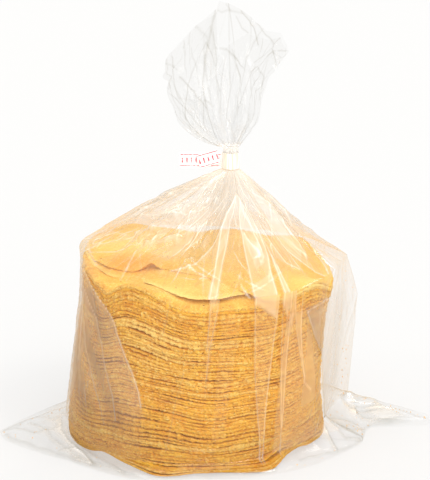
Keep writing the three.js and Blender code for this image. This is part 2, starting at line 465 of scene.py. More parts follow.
def bakedMaizeDough():
    # Baked nixtamal maize dough, pressed and dried a little: matt, golden, grainy at a millimetre,
    # with bran specks, paler crumbly rims, and painted shade with a painted warm glow in the gaps, where
    # light soaks in.
    material, tree = newMaterial("baked maize dough")
    place = addNode(tree, "TexCoord")
    depth, shade, layerHeight, paleness, rim, toast = (
        addNode(tree, "Attribute", attribute_name=name)
        for name in ("depth", "shade", "layerHeight", "paleness", "rim", "toast"))
    # X and Y of the object, with the height in the unbent stack, so that streaks follow the rims
    axes = addNode(tree, "SeparateXYZ", {"Vector": place}).outputs
    unbent = addNode(tree, "CombineXYZ", {"X": axes["X"], "Y": axes["Y"], "Z": layerHeight})

    squeezed, noises, shown = {}, {}, {}
    for name, start in (("mottle", place), ("grain", place), ("pits", place), ("streaks", unbent),
                        ("patches", unbent)):
        size, detail, roughness, flatness, low, high = tortillaLook[name]
        squeezed[name] = addNode(tree, "Mapping", {"Vector": start, "Scale": (1, 1, flatness)})
        noises[name] = addNode(tree, "TexNoise", {"Vector": squeezed[name], "Scale": 1 / (size * mm),
                                                  "Detail": detail, "Roughness": roughness})
        shown[name] = addNode(tree, "MapRange", {"Value": noises[name], "From Min": low, "From Max": high})
    shown["patches"].inputs["To Min"].default_value = 0.25
    specks = addNode(tree, "TexVoronoi", {"Vector": squeezed["grain"],
                                          "Scale": 1 / (tortillaLook["speckCells"] * mm)})
    dots = addNode(tree, "MapRange", {"Value": specks, "From Min": 0.2, "From Max": 0.1})
    chosen = addNode(tree, "Math", {0: specks.outputs["Color"], 1: 0.8}, operation="GREATER_THAN")

    # streaks and pits only show on the rims
    amounts = {"palest": addNode(tree, "Math", {0: shown["grain"], 1: paleness},
                                 operation="ADD", use_clamp=True)}
    for name, first, second in (("rust", shown["streaks"], rim), ("rustHere", "rust", shown["patches"]),
                                ("pitHere", shown["pits"], rim), ("speckHere", dots, chosen)):
        amounts[name] = addNode(tree, "Math", {0: amounts.get(first, first), 1: second}, operation="MULTIPLY")
    colour = addNode(tree, "Mix", {"Factor": shown["mottle"], 6: tortillaLook["darker"],
                                   7: tortillaLook["crumb"]}, data_type="RGBA")
    for amount, name, blend in ((amounts["palest"], "pale", "MIX"), (amounts["rustHere"], "rust", "MIX"),
                                (amounts["pitHere"], "pit", "MIX"), (depth, "deep", "MIX"),
                                (amounts["speckHere"], "speck", "MIX"), (shade, "dusk", "MULTIPLY"),
                                (toast, "toast", "MIX")):
        colour = addNode(tree, "Mix", {"Factor": amount, 6: colour, 7: tortillaLook[name]},
                         data_type="RGBA", blend_type=blend)
    bump = addNode(tree, "Bump", {"Height": noises["grain"], "Strength": 1.0,
                                  "Distance": tortillaLook["grainDepth"] * mm})
    dough = addNode(tree, "BsdfPrincipled", {"Base Color": colour, "Roughness": 0.82, "IOR": 1.45,
                                             "Normal": bump, "Specular IOR Level": 0.25})
    addNode(tree, "OutputMaterial", {"Surface": dough})
    return material


tapeLook = {
    "paper": "#fbf7f5",
    "print": "#d9304e",
    "overFolds": "#e6dcc2",  # where the folds of the gathered film show through
    # millimetres
    "lineHeight": 3.3,       # of the printed lines, above and below the tape's middle
    "lineWidth": 0.45,
    "barPitch": 1.3,
    "barWidth": 0.42,
    "barHeight": 1.5,
    "printEnds": 6.2,        # right of the tape's middle
    "neckStarts": 6.6,
    "foldWidth": 1.1,
}


def printedTape(name, tilt, centre):
    # White sealing tape, printed in one pinkish red: a thin line along each edge and plain bars
    material, tree = newMaterial(name)
    moved = addNode(tree, "Mapping", {"Vector": addNode(tree, "TexCoord"),
                                      "Location": [value * mm for value in centre],
                                      "Rotation": (0, -tilt, 0), "Scale": (mm, mm, mm)},
                    vector_type="TEXTURE")
    axes = addNode(tree, "SeparateXYZ", {"Vector": moved}).outputs
    worn = addNode(tree, "TexNoise", {"Vector": moved, "Scale": 0.8, "Detail": 2.0})
    ink = addNode(tree, "MapRange", {"Value": worn, "From Min": 0.34, "From Max": 0.52, "To Min": 0.3})
    # round the neck the folds of the film under the tape show as upright lines
    upright = addNode(tree, "Mapping", {"Vector": moved, "Scale": (1, 1, 0.06)})
    folds = addNode(tree, "TexNoise", {"Vector": upright, "Scale": 1 / tapeLook["foldWidth"], "Detail": 2.0})
    foldShade = addNode(tree, "MapRange", {"Value": folds, "From Min": 0.45, "From Max": 0.62})

    made = {"along": axes["X"], "up": axes["Z"], "ink": ink, "foldShade": foldShade}
    for name, operation, *terms in (("height", "ABSOLUTE", "up"),
                                    ("offLine", "SUBTRACT", "height", tapeLook["lineHeight"]),
                                    ("lineGap", "ABSOLUTE", "offLine"),
                                    ("lines", "LESS_THAN", "lineGap", tapeLook["lineWidth"] / 2),
                                    ("wave", "PINGPONG", "along", tapeLook["barPitch"]),
                                    ("bars", "LESS_THAN", "wave", tapeLook["barWidth"]),
                                    ("inRow", "LESS_THAN", "height", tapeLook["barHeight"]),
                                    ("rowOfBars", "MULTIPLY", "bars", "inRow"),
                                    ("marks", "MAXIMUM", "lines", "rowOfBars"),
                                    ("onFlag", "LESS_THAN", "along", tapeLook["printEnds"]),
                                    ("inkedFlag", "MULTIPLY", "ink", "onFlag"),
                                    ("printed", "MULTIPLY", "marks", "inkedFlag"),
                                    ("overNeck", "GREATER_THAN", "along", tapeLook["neckStarts"]),
                                    ("foldHere", "MULTIPLY", "foldShade", "overNeck")):
        made[name] = addNode(tree, "Math", {at: made.get(term, term) for at, term in enumerate(terms)},
                             operation=operation)
    colour = tapeLook["paper"]
    for amount, shade in (("foldHere", "overFolds"), ("printed", "print")):
        colour = addNode(tree, "Mix", {"Factor": made[amount], 6: colour, 7: tapeLook[shade]},
                         data_type="RGBA")
    bump = addNode(tree, "Bump", {"Height": worn, "Strength": 0.25, "Distance": 0.2 * mm})
    tape = addNode(tree, "BsdfPrincipled", {"Base Color": colour, "Roughness": 0.3, "IOR": 1.46,
                                            "Normal": bump})
    addNode(tree, "OutputMaterial", {"Surface": tape})
    return material


filmMaterial = polytheneFilm()
doughMaterial = bakedMaizeDough()
print("materials made")


# Tortillas

stack = {
    "segments": 740,
    "slip": 1.5,             # how far single tortillas have slid out of line
    "unevenness": 0.36,      # share by which their thickness varies
    "rimRoughness": 0.5,
    "slack": 0.35,           # between the rims and the film
    "rightHollow": 1.2,      # how far the right side of the stack is drawn in below its top
    # height of the rims above or below an even stack, at half height and at the top
    "middleWave": [
        [0, -2], [40, -1], [90, -2], [140, 1], [180, 3], [205, -3], [216, -2], [222, 0], [230, 3],
        [240, 2], [255, -1.5], [269, -4.5], [290, -5], [308, -4], [323, -1], [338, 2], [350, 0]],
    "topWave": [
        [4, -12], [20, -8], [40, -4], [60, -3], [90, -4], [120, -2], [150, 1], [180, 3], [200, -1], [212, -3],
        [219, -4.5], [226, 0.5], [233, 3], [240, 1.5], [248, -1.5], [256, -4.5], [267, -7.5],
        [280, -7.5], [290, -7], [300, -7.5], [312, -6], [322, -3.5], [330, -4], [338, -7], [346, -11],
        [354, -13]],
    "footCurl": [
        [0, 0.5], [60, 0.5], [120, 0.5], [183, 1.5], [204, 2.6], [217, 3], [224, 5], [241, 2.5],
        [250, 0.3], [260, 0.2], [268, 1.5], [278, 1.2], [289, 0.5], [300, 0], [303, 0], [307, 1.5],
        [315, 4.5], [322, 5.5], [331, 3.5], [345, 1]],
    "footBulge": [
        [0, 0], [90, 0], [200, 0], [235, 0], [247, 2], [257, 5], [264, 2], [270, 0], [285, 1],
        [292, 4.5], [299, 7], [305, 5], [312, 1], [330, 0]],
    # how far the topmost tortilla and the one below it have slid back
    "slidBack": [
        [[0, 0], [60, 0], [120, 0], [165, 0], [180, 3], [190, 6], [196, 8.5], [204, 12.5], [212, 20.5],
         [220, 30], [228, 35], [240, 36.5], [252, 37.5], [262, 37.3], [270, 35], [276, 30.5], [280, 25.5],
         [284, 15], [288, 6], [292, 2.5], [297, 0.5], [303, 0], [330, 0]],
        [[0, 0], [90, 0], [160, 0], [175, 0.5], [186, 3], [196, 6], [200, 7], [208, 10], [216, 19],
         [222, 20.5], [228, 18], [236, 13.5], [244, 10.5], [252, 8], [258, 6], [268, 5], [276, 5], [284, 8],
         [290, 6.5], [294, 3], [299, 0.5], [304, 0], [330, 0]]],
    "pinch": 4.2,            # height of the peak in the edge of the topmost one
    # hills on the top faces, their toasted places with painted shade, and their painted highlights: height or
    # strength, x, y, and how wide along x and y
    "topHills": [[6.5, -44, 6, 20, 24], [3.0, -18, -18, 22, 9], [-1.0, -42, -34, 22, 10],
                 [6.0, -30, 46, 30, 22], [4.5, -48, 40, 16, 16], [2.6, 28, -55, 14, 10]],
    "toastAndShadePlaces": [[0.7, -46, -22, 18, 9], [0.35, 47, 10, 24, 22]],
    "paintedHighlightPlaces": [[0.5, -46, 2, 15, 11], [0.3, 56, -42, 18, 10], [0.4, -12, -58, 14, 8]],
    "groups": [10, 10, 10, 9, 9, 9],       # tortillas in each piece, from the table up
    "seeds": {"spin": 5, "slide": 7, "thickness": 61, "tightness": 62, "paleness": 63, "thickPlaces": 100,
              "ownRim": 300, "crumbling": 500, "closing": 700},
}


def tortillaRounds():
    # Geometry Nodes lay one round after another up the stack, each turned its own way
    half = bag["tortillaPitch"] / 2
    profile = [(0.30, 1.0), (0.62, 1.0), (0.82, 1.0), (0.93, 1.0), (0.986, 0.97), (0.996, 0.72),
               (1.0, 0.15), (0.998, -0.5), (0.988, -0.93), (0.93, -1.0)]
    angles = np.arange(stack["segments"]) * tau / stack["segments"]
    rings = [ring(0, bag["tortillaRadius"] * share, angles, half * side) for share, side in profile[::-1]]
    single = gridMesh("tortilla", np.array(rings), bottom=(0, 0, -half), top=(0, 0, half))

    tree, group = newTree("stack of rounds", {"Geometry": "Geometry", "Count": "Int", "Pitch": "Float",
                                              "First": "Int", "Seed": "Int", "Dough": "Material"})
    step = addNode(tree, "CombineXYZ", {"Z": group["Pitch"]})
    middle = addNode(tree, "Math", {0: group["First"], 1: 0.5}, operation="ADD")
    height = addNode(tree, "Math", {0: middle, 1: group["Pitch"]}, operation="MULTIPLY")
    start = addNode(tree, "CombineXYZ", {"Z": height})
    line = addNode(tree, "GeometryNodeMeshLine", {"Count": group["Count"], "Start Location": start,
                                                  "Offset": step}, mode="OFFSET")
    spin = addNode(tree, "FunctionNodeRandomValue", {"Min": (0, 0, 0), "Max": (0, 0, tau),
                                                     "Seed": group["Seed"]}, data_type="FLOAT_VECTOR")
    placed = addNode(tree, "GeometryNodeInstanceOnPoints", {"Points": line, "Instance": group["Geometry"],
                                                            "Rotation": spin})
    return single, endTree(tree, placed, group["Dough"])


def thicknesses():
    # pressed by hand, so no two are as thick, and together they make up the stack
    rng = np.random.default_rng(stack["seeds"]["thickness"])
    each = np.clip(1 + 0.3 * rng.normal(size=bag["tortillaCount"]), 0.6, 1.6)
    return each / each.mean() * bag["tortillaPitch"]


def unevenHeights(angle, number):
    # every tortilla is a little thicker here and thinner there, and the sum makes the layers wander
    total = np.zeros(angle.shape)
    drift = np.zeros(angle.shape)
    for below in range(bag["tortillaCount"]):
        share = ripple(stack["seeds"]["thickPlaces"] + below, angle, 0, 7, 1, 11, 0.45)
        drift = drift * 0.93 + share * bag["tortillaPitch"] * stack["unevenness"]
        total = np.where(number == below, drift, total)
    return total


def shapeTortillas(mesh, first, count):
    points = readPoints(mesh).astype(float) / mm
    pitch, fullRadius, last = bag["tortillaPitch"], bag["tortillaRadius"], bag["tortillaCount"] - 1
    seeds = stack["seeds"]
    number = np.repeat(np.arange(first, first + count), len(points) // count)
    angle = np.arctan2(points[:, 1], points[:, 0])
    share = np.hypot(points[:, 0], points[:, 1]) / fullRadius
    atRim = smoothStep(0.9, 1.0, share)
    thickness = thicknesses()
    evenHeight = (np.cumsum(thickness) - thickness / 2)[number]
    thickness = thickness[number]
    local = (points[:, 2] - (number + 0.5) * pitch) * thickness / pitch
    level = evenHeight / stackHeight
    layerHeight = evenHeight + local

    def ownNoise(seed, *shape):
        # other noise round each tortilla
        noise = np.zeros(len(points))
        for each in range(first, first + count):
            noise[number == each] = ripple(seed + each, angle[number == each], 0, *shape)
        return noise

    def eachOne(seed, low, high):
        return np.random.default_rng(seed).uniform(low, high, bag["tortillaCount"])[number]

    # heights: the layers follow the middle wave, and towards the top the top wave
    rise = np.minimum(1, (level / 0.6) ** 0.6)
    toTop = smoothStep(0.62, 1.0, level) ** 1.3
    wave = (roundTable(stack["middleWave"], angle) * rise * (1 - toTop)
            + roundTable(stack["topWave"], angle) * toTop)
    curl = roundTable(stack["footCurl"], angle) * np.clip(1 - level / 0.26, 0, 1) ** 1.5
    hollow = 2.6 * hump(degreesPast(307, angle), 6)
    curl = curl + np.where(number >= 3, hollow * np.exp(-(number - 3) / 5), 0)
    wander = unevenHeights(angle, number)

    # radii: slid, uneven rims that stay inside the film
    slide = 0.5 + 0.5 * ripple(seeds["slide"], angle, level * 9, 9, 1, 4, 0.3)
    own = 0.5 + 0.5 * ownNoise(seeds["ownRim"], 6, 1, 9, 0.5)
    crumbly = np.minimum(1, (number + 1) / 5) * ownNoise(seeds["crumbling"], 26, 24, 260, 0.3)
    closing = ownNoise(seeds["closing"], 9, 4, 26, 0.25)
    bulge = roundTable(stack["footBulge"], angle) * np.clip(1 - evenHeight / 9, 0, 1)
    slip = stack["slip"] * (0.55 * np.clip(slide, 0, 1) + 0.45 * np.clip(own, 0, 1))
    rim = stackRadius(angle, evenHeight) - bag["filmGap"] - stack["slack"] - slip + bulge
    drawnIn = smoothStep(0.05, 0.3, level) * (1 - smoothStep(0.76, 0.95, level))
    rim = rim - stack["rightHollow"] * np.maximum(np.cos(angle), 0) ** 3 * drawnIn
    rim = rim + stack["rimRoughness"] * crumbly * atRim
    tight = eachOne(seeds["tightness"], 0.0, 0.34) + 0.25 * smoothStep(last - 9, last - 6, number)
    local = local * (1 + (0.2 * crumbly + 0.36 * np.maximum(closing, -0.55) + tight) * atRim)

    # the two topmost tortillas have slid back and show the faces of those below
    recess = sum(np.where(number == last - below, roundTable(table, angle), 0)
                 for below, table in enumerate(stack["slidBack"]))
    rim = rim - recess
    x = rim * share * np.cos(angle)
    y = rim * share * np.sin(angle)
    # the third from the top stays flat under the two above it until close to its rim
    flatTo = np.where(number == last - 2, 0.74, 0.4)
    outward = smoothStep(flatTo, 1.0, rim * share / fullRadius)
    stiff = 1 - 0.6 * smoothStep(0, 6, recess)
    height = evenHeight + (wave * stiff + curl + wander) * outward
    # their free edges are thin and lie close on the one below
    thin = smoothStep(1, 6, recess) * atRim
    height = height - 0.78 * thickness / 2 * thin
    local = local * (1 - 0.82 * thin)
    # the edge of the topmost one is pinched up into a small peak
    pinch = hump(degreesPast(219.5, angle), 4) * smoothStep(0.78, 1.0, share)
    height = height + stack["pinch"] * pinch * (number == last)
    # a dome at the back left and soft waves over the top faces
    rolls = 1.1 * np.sin(x / 13 + y / 17 + 1) * np.sin(y / 11 - x / 23)
    height = height + (hills(x, y, stack["topHills"]) + rolls) * smoothStep(last - 7, last, number)

    lean = leanAt(np.clip(height, 0, stackHeight))
    z = np.maximum(height + local, 0.25 + (local + pitch / 2) * 0.4)      # none sinks into the table
    placed = np.stack([x + lean, y, z], axis=-1)
    mesh.vertices.foreach_set("co", (placed * mm).astype(np.float32).reshape(-1))

    # painted shade in the gaps between the rims, stronger under each rim
    inGap = np.clip(np.abs(local) / (thickness / 2), 0, 1) ** 3 * smoothStep(0.9, 0.985, share)
    inGap = inGap * np.clip(0.62 - 0.6 * closing - 0.5 * crumbly, 0.05, 1)
    inGap = inGap * np.clip(0.25 * (last - number), 0.25, 1)
    deep = np.clip(inGap * np.where(local < 0, 1.25, 0.9), 0, 1) * ((number < last) | (local < 0))
    dim = 0.5 * (1 - smoothStep(0.04, 0.45, level)) * smoothStep(0.9, 0.98, share)
    # toasted patches and painted orange shade on the top faces, and painted shade on the undersides of the
    # rims that slid back
    toastAndShadeAmount = hills(x, y, stack["toastAndShadePlaces"]) * (number >= last - 2)
    toastAndShadeAmount = toastAndShadeAmount + 0.45 * smoothStep(1, 5, recess) * smoothStep(0.97, 0.99, share) * (local < -0.3)
    paleness = (eachOne(seeds["paleness"], -0.3, 0.3) + 0.15 * crumbly
                + 0.35 * hump(degreesPast(248, angle), 16) * hump(level - 0.72, 0.14))
    # the top three are paler, with painted highlights on the dome and other lit places
    paleness = np.where(number < last - 2, paleness, 0.3 + hills(x, y, stack["paintedHighlightPlaces"]))
    paleness = paleness + 0.5 * (number == last - 1) * smoothStep(0.95, 0.98, share)
    rimShare = smoothStep(0.975, 0.99, share) * np.where(local > -0.2, 0.75, 1.0)
    rimShare = rimShare * np.where(number >= last - 1, 0.25, 1.0)
    storeValues(mesh, {"depth": deep, "shade": dim, "layerHeight": layerHeight * mm, "paleness": paleness,
                       "rim": rimShare, "toast": np.clip(toastAndShadeAmount, 0, 1)})


singleTortilla, roundsTree = tortillaRounds()
stackPieces = []
first = 0
for place, count in enumerate(stack["groups"], 1):
    rounds = bakeNodes(singleTortilla, roundsTree,
                       {"Count": count, "Pitch": bag["tortillaPitch"] * mm, "First": first,
                        "Seed": stack["seeds"]["spin"] + first, "Dough": doughMaterial}, f"tortillas_{place}")
    shapeTortillas(rounds.data, first, count)
    giveMaterial(rounds, doughMaterial)
    stackPieces.append(rounds)
    first += count
bpy.data.objects.remove(singleTortilla)
print("tortillas stacked:", [len(piece.data.polygons) for piece in stackPieces])


# Film round the stack

filmShape = {
    "columns": 800,
    # folds of the film down the sides: how strong, over how many millimetres the film beside it is
    # milky and on which side, then [direction, height in millimetres]
    "sideFolds": [
        [1.0, 5, [199, 104], [213, 94], [221, 89], [227.5, 82], [232.5, 70], [239.5, 54], [242.5, 45],
         [244, 36]],
        [0.5, 3, [197, 94], [215, 80], [221, 64], [229, 40], [232, 26]],
        [0.5, -3, [197, 85], [207, 62], [219, 40], [226, 22]],
        [0.9, -2, [289.6, 112], [289.6, 93], [292.4, 58], [294.4, 40], [297, 17], [297.3, 2]],
        [0.9, 3, [300.2, 112], [300.6, 93], [299.6, 58], [299.2, 40], [299, 17], [298.6, 4]],
        [0.7, -2, [303.3, 112], [303.4, 84], [306.6, 38], [307.8, 22], [307.8, 6]],
        [0.7, 2, [307, 112], [307.7, 84], [308.3, 38], [308.3, 22]],
        [0.7, -2, [309.6, 112], [309.9, 93], [312.3, 78], [316.4, 61], [320, 48]],
        [0.8, 3, [314, 112], [314.4, 93], [315.2, 78], [317.6, 61], [321, 44], [327, 38]],
        [0.7, -2, [270.4, 112], [271, 96], [270.6, 72]],
        [0.6, 1.5, [274.3, 112], [274, 96], [271.8, 72], [271.6, 55]],
        [0.5, 4, [255, 112], [254, 96], [252, 80]],
        [0.4, -3, [262, 60], [259, 40], [257, 14]],
        [0.6, 4, [319, 86], [326, 71], [333, 59], [338, 40], [344.5, 10], [347, 1]],
        [0.9, 2, [336, 88], [327.5, 88], [319, 86]],
        [0.5, -3, [358.5, 104], [352.5, 94], [350, 58], [347, 35]],
        [0.6, 3, [60, 112], [62, 60], [60, 6]],
        [0.6, -3, [112, 112], [118, 60], [121, 6]],
        [0.6, 3, [150, 112], [154, 60], [158, 6]],
    ],
    # folds of the film on the table in plan: how strong, then [x, y] in millimetres
    "tableFolds": [
        [0.5, [93.9, 53.9], [108.2, 5.9], [122, 6.9], [135.2, 7.3]],
        [0.5, [134.7, 1.9], [113.5, 3], [102.4, -1.6], [96.7, -15.1], [96.7, -23.4], [91.3, -33.1],
         [80.8, -44.6], [70.1, -53.3], [58.5, -62.3]],
        [1, [73.8, -13], [73.8, -25.7], [75.7, -33.4], [79.7, -44.3]],
        [0.9, [83.6, 78.8], [88.4, 55.8], [93.8, -3.3]],
        [0.8, [83.3, -1.7], [90.4, -2.8], [94.5, -3.2], [107.6, 4.8], [118.9, -1.3]],
        [0.6, [75.2, -21.3], [81.9, -25.8], [85.6, -31.4], [94.7, -25.7]],
        [0.5, [91.5, -2.9], [97.7, 2.1], [111, 4.1], [122.9, 3.9]],
        [0.5, [83.2, -23.6], [90.3, -21.6], [96.7, -15.1]],
        [0.5, [79.3, -20.4], [85.9, -17.1], [94.5, -11.8]],
        [0.5, [-75.5, -2], [-86.2, -1.4], [-95.9, -5.3], [-111.1, -12.4]],
        [0.5, [-110.6, -17.9], [-107.6, -23.5], [-90, -39.6], [-73, -52.2], [-56.4, -65.1],
         [-42.5, -75.8], [-31.2, -82.5]],
        [1, [-74.3, -2], [-78.3, -18.7], [-77.3, -32.1], [-72.5, -43.1], [-65, -54.3], [-57.6, -64.5],
         [-47.9, -79.6]],
        [0.6, [-75.4, -18.2], [-73, -36.3], [-66.5, -48.4], [-56.7, -60], [-46.1, -71.2], [-36.8, -81.1]],
        [0.5, [-112.9, -12.6], [-105.1, -13.7], [-93.5, -24.8], [-79.2, -29.1]],
        [0.5, [-97.1, -11], [-87.8, -24], [-82.2, -35.9], [-77.1, -42.9], [-64.7, -58.8]],
        [0.4, [-104.1, -11.7], [-98, -2.5], [-87.9, -9], [-80, -20]],
        [0.5, [-76.8, -46.9], [-67.4, -51], [-57.8, -60.8]],
        [0.6, [-30.6, -84], [-19.1, -84], [-2.7, -82.5], [11, -81.5], [30.3, -78], [44.7, -72.9]],
    ],
    "leftVeil": {
        "depth": 0.12, "haze": 0.2,
        # the fold that ends it, as [height, direction]; then single bands of painted shade: how grey, over
        # how many millimetres, and where they run, as [direction, height]
        "edge": [[18, 246], [26, 245], [37, 244], [45, 242.5], [54, 239.5], [70, 232.5], [82, 227.5],
        [89, 221], [94, 213], [102, 203.5]],
        "bands": [[0.42, 4.5, [206, 93], [215, 80], [219, 71]],
                  [0.42, 6, [205, 66], [215.5, 56], [222, 47], [228, 34], [232, 25]],
                  [0.5, 8, [191, 56], [203, 40], [213, 26]],
                  [0.2, 2.4, [219.5, 88], [226, 77]]]},
    "rightVeil": {"edge": [[2, 346], [10, 344.5], [40, 338.8], [59, 333], [71, 326], [87, 318], [95, 314]],
                  "depth": 0.6, "haze": 0.3,
                  "line": [[319, 86], [326, 71], [333, 59], [338, 40], [344.5, 10], [347, 1]]},
    "footRows": 44,
    "footTop": 18,           # height up to which the rows lie close together
    "bodyRows": 74,
    "shoulderRows": 100,
    "neckRows": 8,
    "shoulderDarts": {"count": 44, "start": (0.1, 0.8), "half": (3, 10),
    "lean": 12, "flare": 1.0, "line": 0.4},
    "wideDarts": {"count": 24, "start": (-0.3, 0.4), "half": (7, 19), "lean": 18, "flare": 0.7, "line": 0.45},
    "backDarts": {"count": 26, "start": (-0.5, 0.7), "half": (2, 8), "lean": 12, "flare": 0.8, "line": 0.6},
    # hair lines of the shoulders, some milky and some grey with painted shade
    "fine": {"count": 210, "x": (165, 350), "y": (0, 84), "tilt": math.radians(90), "spread": 0.6,
             "length": (4, 20), "width": (0.45, 1.0), "height": (0.1, 0.8), "wrap": 360},
    # creases on the unrolled shoulders, in degrees round the bag and millimetres up towards the neck
    "shoulderTall": 86,
    "topCreases": {"count": 150, "x": (0, 360), "y": (4, 86), "tilt": math.radians(90), "spread": 0.55,
                   "length": (8, 30), "width": (1.5, 5), "height": (0.3, 1.3), "wrap": 360},
    # single folds of the shoulders that show from the front: how strong, over how many millimetres the
    # flat film beside it is milky, then [direction, share of the way from the rim to the neck]
    "folds": [
        [0.5, 7, [233, 0.86], [217, 0.76], [210, 0.63], [203, 0.53], [197, 0.45]],
        [0.5, -5, [224, 0.89], [204, 0.82], [193, 0.73], [187, 0.63], [180, 0.54], [172, 0.42]],
        [0.4, 6, [224, 0.56], [210, 0.5], [197, 0.45], [190, 0.42]],
        [0.8, 6, [254, 0.82], [244, 0.71], [238, 0.64], [224, 0.56], [216, 0.5], [212, 0.44], [210, 0.37],
         [208, 0.31], [206, 0.26]],
        [0.6, 2, [234, 0.73], [236, 0.76], [248, 0.79], [256, 0.78]],
        [0.9, 8, [266, 0.75], [258, 0.66], [250, 0.53], [248, 0.41], [244, 0.3]],
        [1.0, -5, [283, 0.79], [273, 0.66], [268, 0.44], [261, 0.31], [255, 0.23], [248, 0.19]],
        [0.7, 4, [272, 0.75], [260, 0.57], [253, 0.43], [249, 0.35]],
        [1.0, -3, [285, 0.81], [274, 0.66], [270.5, 0.53], [270.5, 0.39], [270.5, 0.22], [270, 0.0]],
        [0.9, 3, [286, 0.8], [277.5, 0.61], [276, 0.47], [274, 0.29], [273.5, 0.16], [273, 0.0]],
        [0.9, -6, [293, 0.91], [292.5, 0.8], [288, 0.66], [288, 0.51], [288.5, 0.32], [289, 0.15],
         [289, 0.0]],
        [1.0, 6, [289, 0.82], [297, 0.68], [302, 0.53], [303, 0.39], [300.5, 0.19], [299.5, 0.0]],
        [0.8, -4, [300.5, 0.66], [303, 0.47], [304.5, 0.39], [304, 0.19], [303.5, 0.0]],
        [0.7, 3, [305, 0.32], [305.5, 0.27], [306, 0.12], [306, 0.0]],
        [1.0, -7, [301, 0.85], [314, 0.65], [321, 0.55], [322.5, 0.39], [325.5, 0.24], [329, 0.07],
         [332, 0.0]],
        [0.8, 6, [323, 0.88], [331.5, 0.76], [338.5, 0.63], [334.5, 0.5], [335, 0.34], [331.5, 0.21]],
        [0.9, 4, [308, 0.61], [310.5, 0.4], [313.5, 0.24], [320, 0.16]],
        [0.8, -6, [358, 0.8], [356, 0.58], [349, 0.38], [341.5, 0.16], [335.5, 0.0]],
        [0.9, 3, [291, 0.78], [297, 0.6], [298.5, 0.46], [299.5, 0.37]],
        [0.9, 2, [290, 0.53], [294, 0.42], [297.5, 0.33], [293.5, 0.32]],
        [0.6, 4, [191, 0.09], [182.5, 0.12], [186, 0.2], [202.5, 0.28]],
        [0.5, -4, [202.5, 0.28], [202.5, 0.23], [199, 0.14], [191, 0.09]],
        [0.8, 3, [179.5, 0.06], [187, 0.06], [198.5, 0.05], [211, 0.02]],
        [0.6, -8, [196, 0.96], [184, 0.85], [178, 0.7], [176, 0.55], [174, 0.4], [172, 0.2]],
    ],
    # milky shapes where folds lie over each other: how much, then [direction, share]; below 0 on the sides
    "shoulderPatches": [
        [0.1, [270.5, 0.0], [273, 0.0], [276, 0.47], [286, 0.8], [270.5, 0.42]],
        [0.08, [289, 0.0], [299.5, 0.0], [303, 0.45], [290, 0.8], [288, 0.5]],
        [0.14, [289.5, 0.0], [299.5, 0.0], [300.5, 0.19], [289, 0.12]],
        [0.2, [303, 0.0], [306.5, 0.0], [306, 0.2], [304, 0.3]],
        [0.12, [293, 0.24], [299, 0.28], [300, 0.42], [290, 0.5]],
        [0.08, [206, 0.27], [247, 0.25], [256, 0.48], [252, 0.72], [224, 0.55]],
        [0.1, [308, 0.3], [320, 0.14], [334, 0.3], [330, 0.6], [316, 0.6]],
    ],
    # the same on the sides, with heights in millimetres
    "sidePatches": [
        [0.2, [304, 8], [342, 8], [338, 45], [318, 88], [306, 88]],
        [0.15, [297, 17], [299, 17], [300.6, 93], [289.6, 93]],
        [0.12, [307.8, 22], [308.2, 22], [308, 84], [303.3, 84]],
        [0.14, [316.5, 61], [317.5, 61], [314.3, 93], [309.8, 93]],
        [0.12, [271.2, 45], [271.8, 45], [274.2, 96], [270.5, 96]],
        [0.08, [276, 20], [281, 20], [284, 92], [276, 92]],
        [0.1, [320, 30], [334, 30], [324, 72], [320, 78]],
        [0.6, [289.3, 97.5], [299.8, 88], [300.2, 116], [289.3, 116]],
        [0.5, [302.4, 96], [306, 87], [307.4, 92], [306.8, 116], [302, 116]],
        [0.4, [308, 84], [309, 78], [310.4, 90], [309, 112], [307.4, 112]],
        [0.4, [271.1, 96], [273.4, 97], [273.8, 116], [270.3, 116]],
    ],
    "leftCrumple": {"count": 120, "x": (208, 262), "y": (20, 62), "tilt": math.radians(60), "spread": 1.1,
                    "length": (4, 15), "width": (1.2, 3.5), "height": (0.4, 1.2), "wrap": 360},
    "crumpled": {"count": 170, "x": (0, 360), "y": (2, 104), "tilt": math.radians(78), "spread": 0.35,
                 "length": (10, 34), "width": (1.2, 4.5), "height": (0.1, 0.42), "wrap": 360},
}
sideMm = 1.3                 # millimetres to a degree round the stack
sideDegrees = 0.76           # degrees to a millimetre round it


def sideRelief(degrees, heights):
    # the folds of the sides on the unrolled film: how far they stand off, their milk, and their grey, which
    # is painted shade on the flank away from the milk
    around = degrees * sideMm
    lift, milk, grey = (np.zeros(degrees.shape) for _ in range(3))
    for strength, beside, *line in filmShape["sideFolds"]:
        away, onSide = foldLine(around, heights, scaled(line, sideMm, 1))
        milkySide = onSide * math.copysign(1, beside) > 0
        lift = lift + 0.45 * strength * np.clip(1 - away / 2.4, 0, 1)
        milk = milk + strength * (0.4 * hump(away, 0.25 + 0.25 * strength)
                                  + 0.07 * milkySide * np.exp(-away / abs(beside)))
        # painted shade on the flank away from the milky side
        grey = grey + strength * 0.22 * ~milkySide * np.exp(-away / 0.9)
    for amount, *shape in filmShape["sidePatches"]:
        soft = 1.6 if amount > 0.3 else 0.5
        milk = milk + amount * insideShape(around, heights, scaled(shape, sideMm, 1), soft)
    return lift, milk, grey


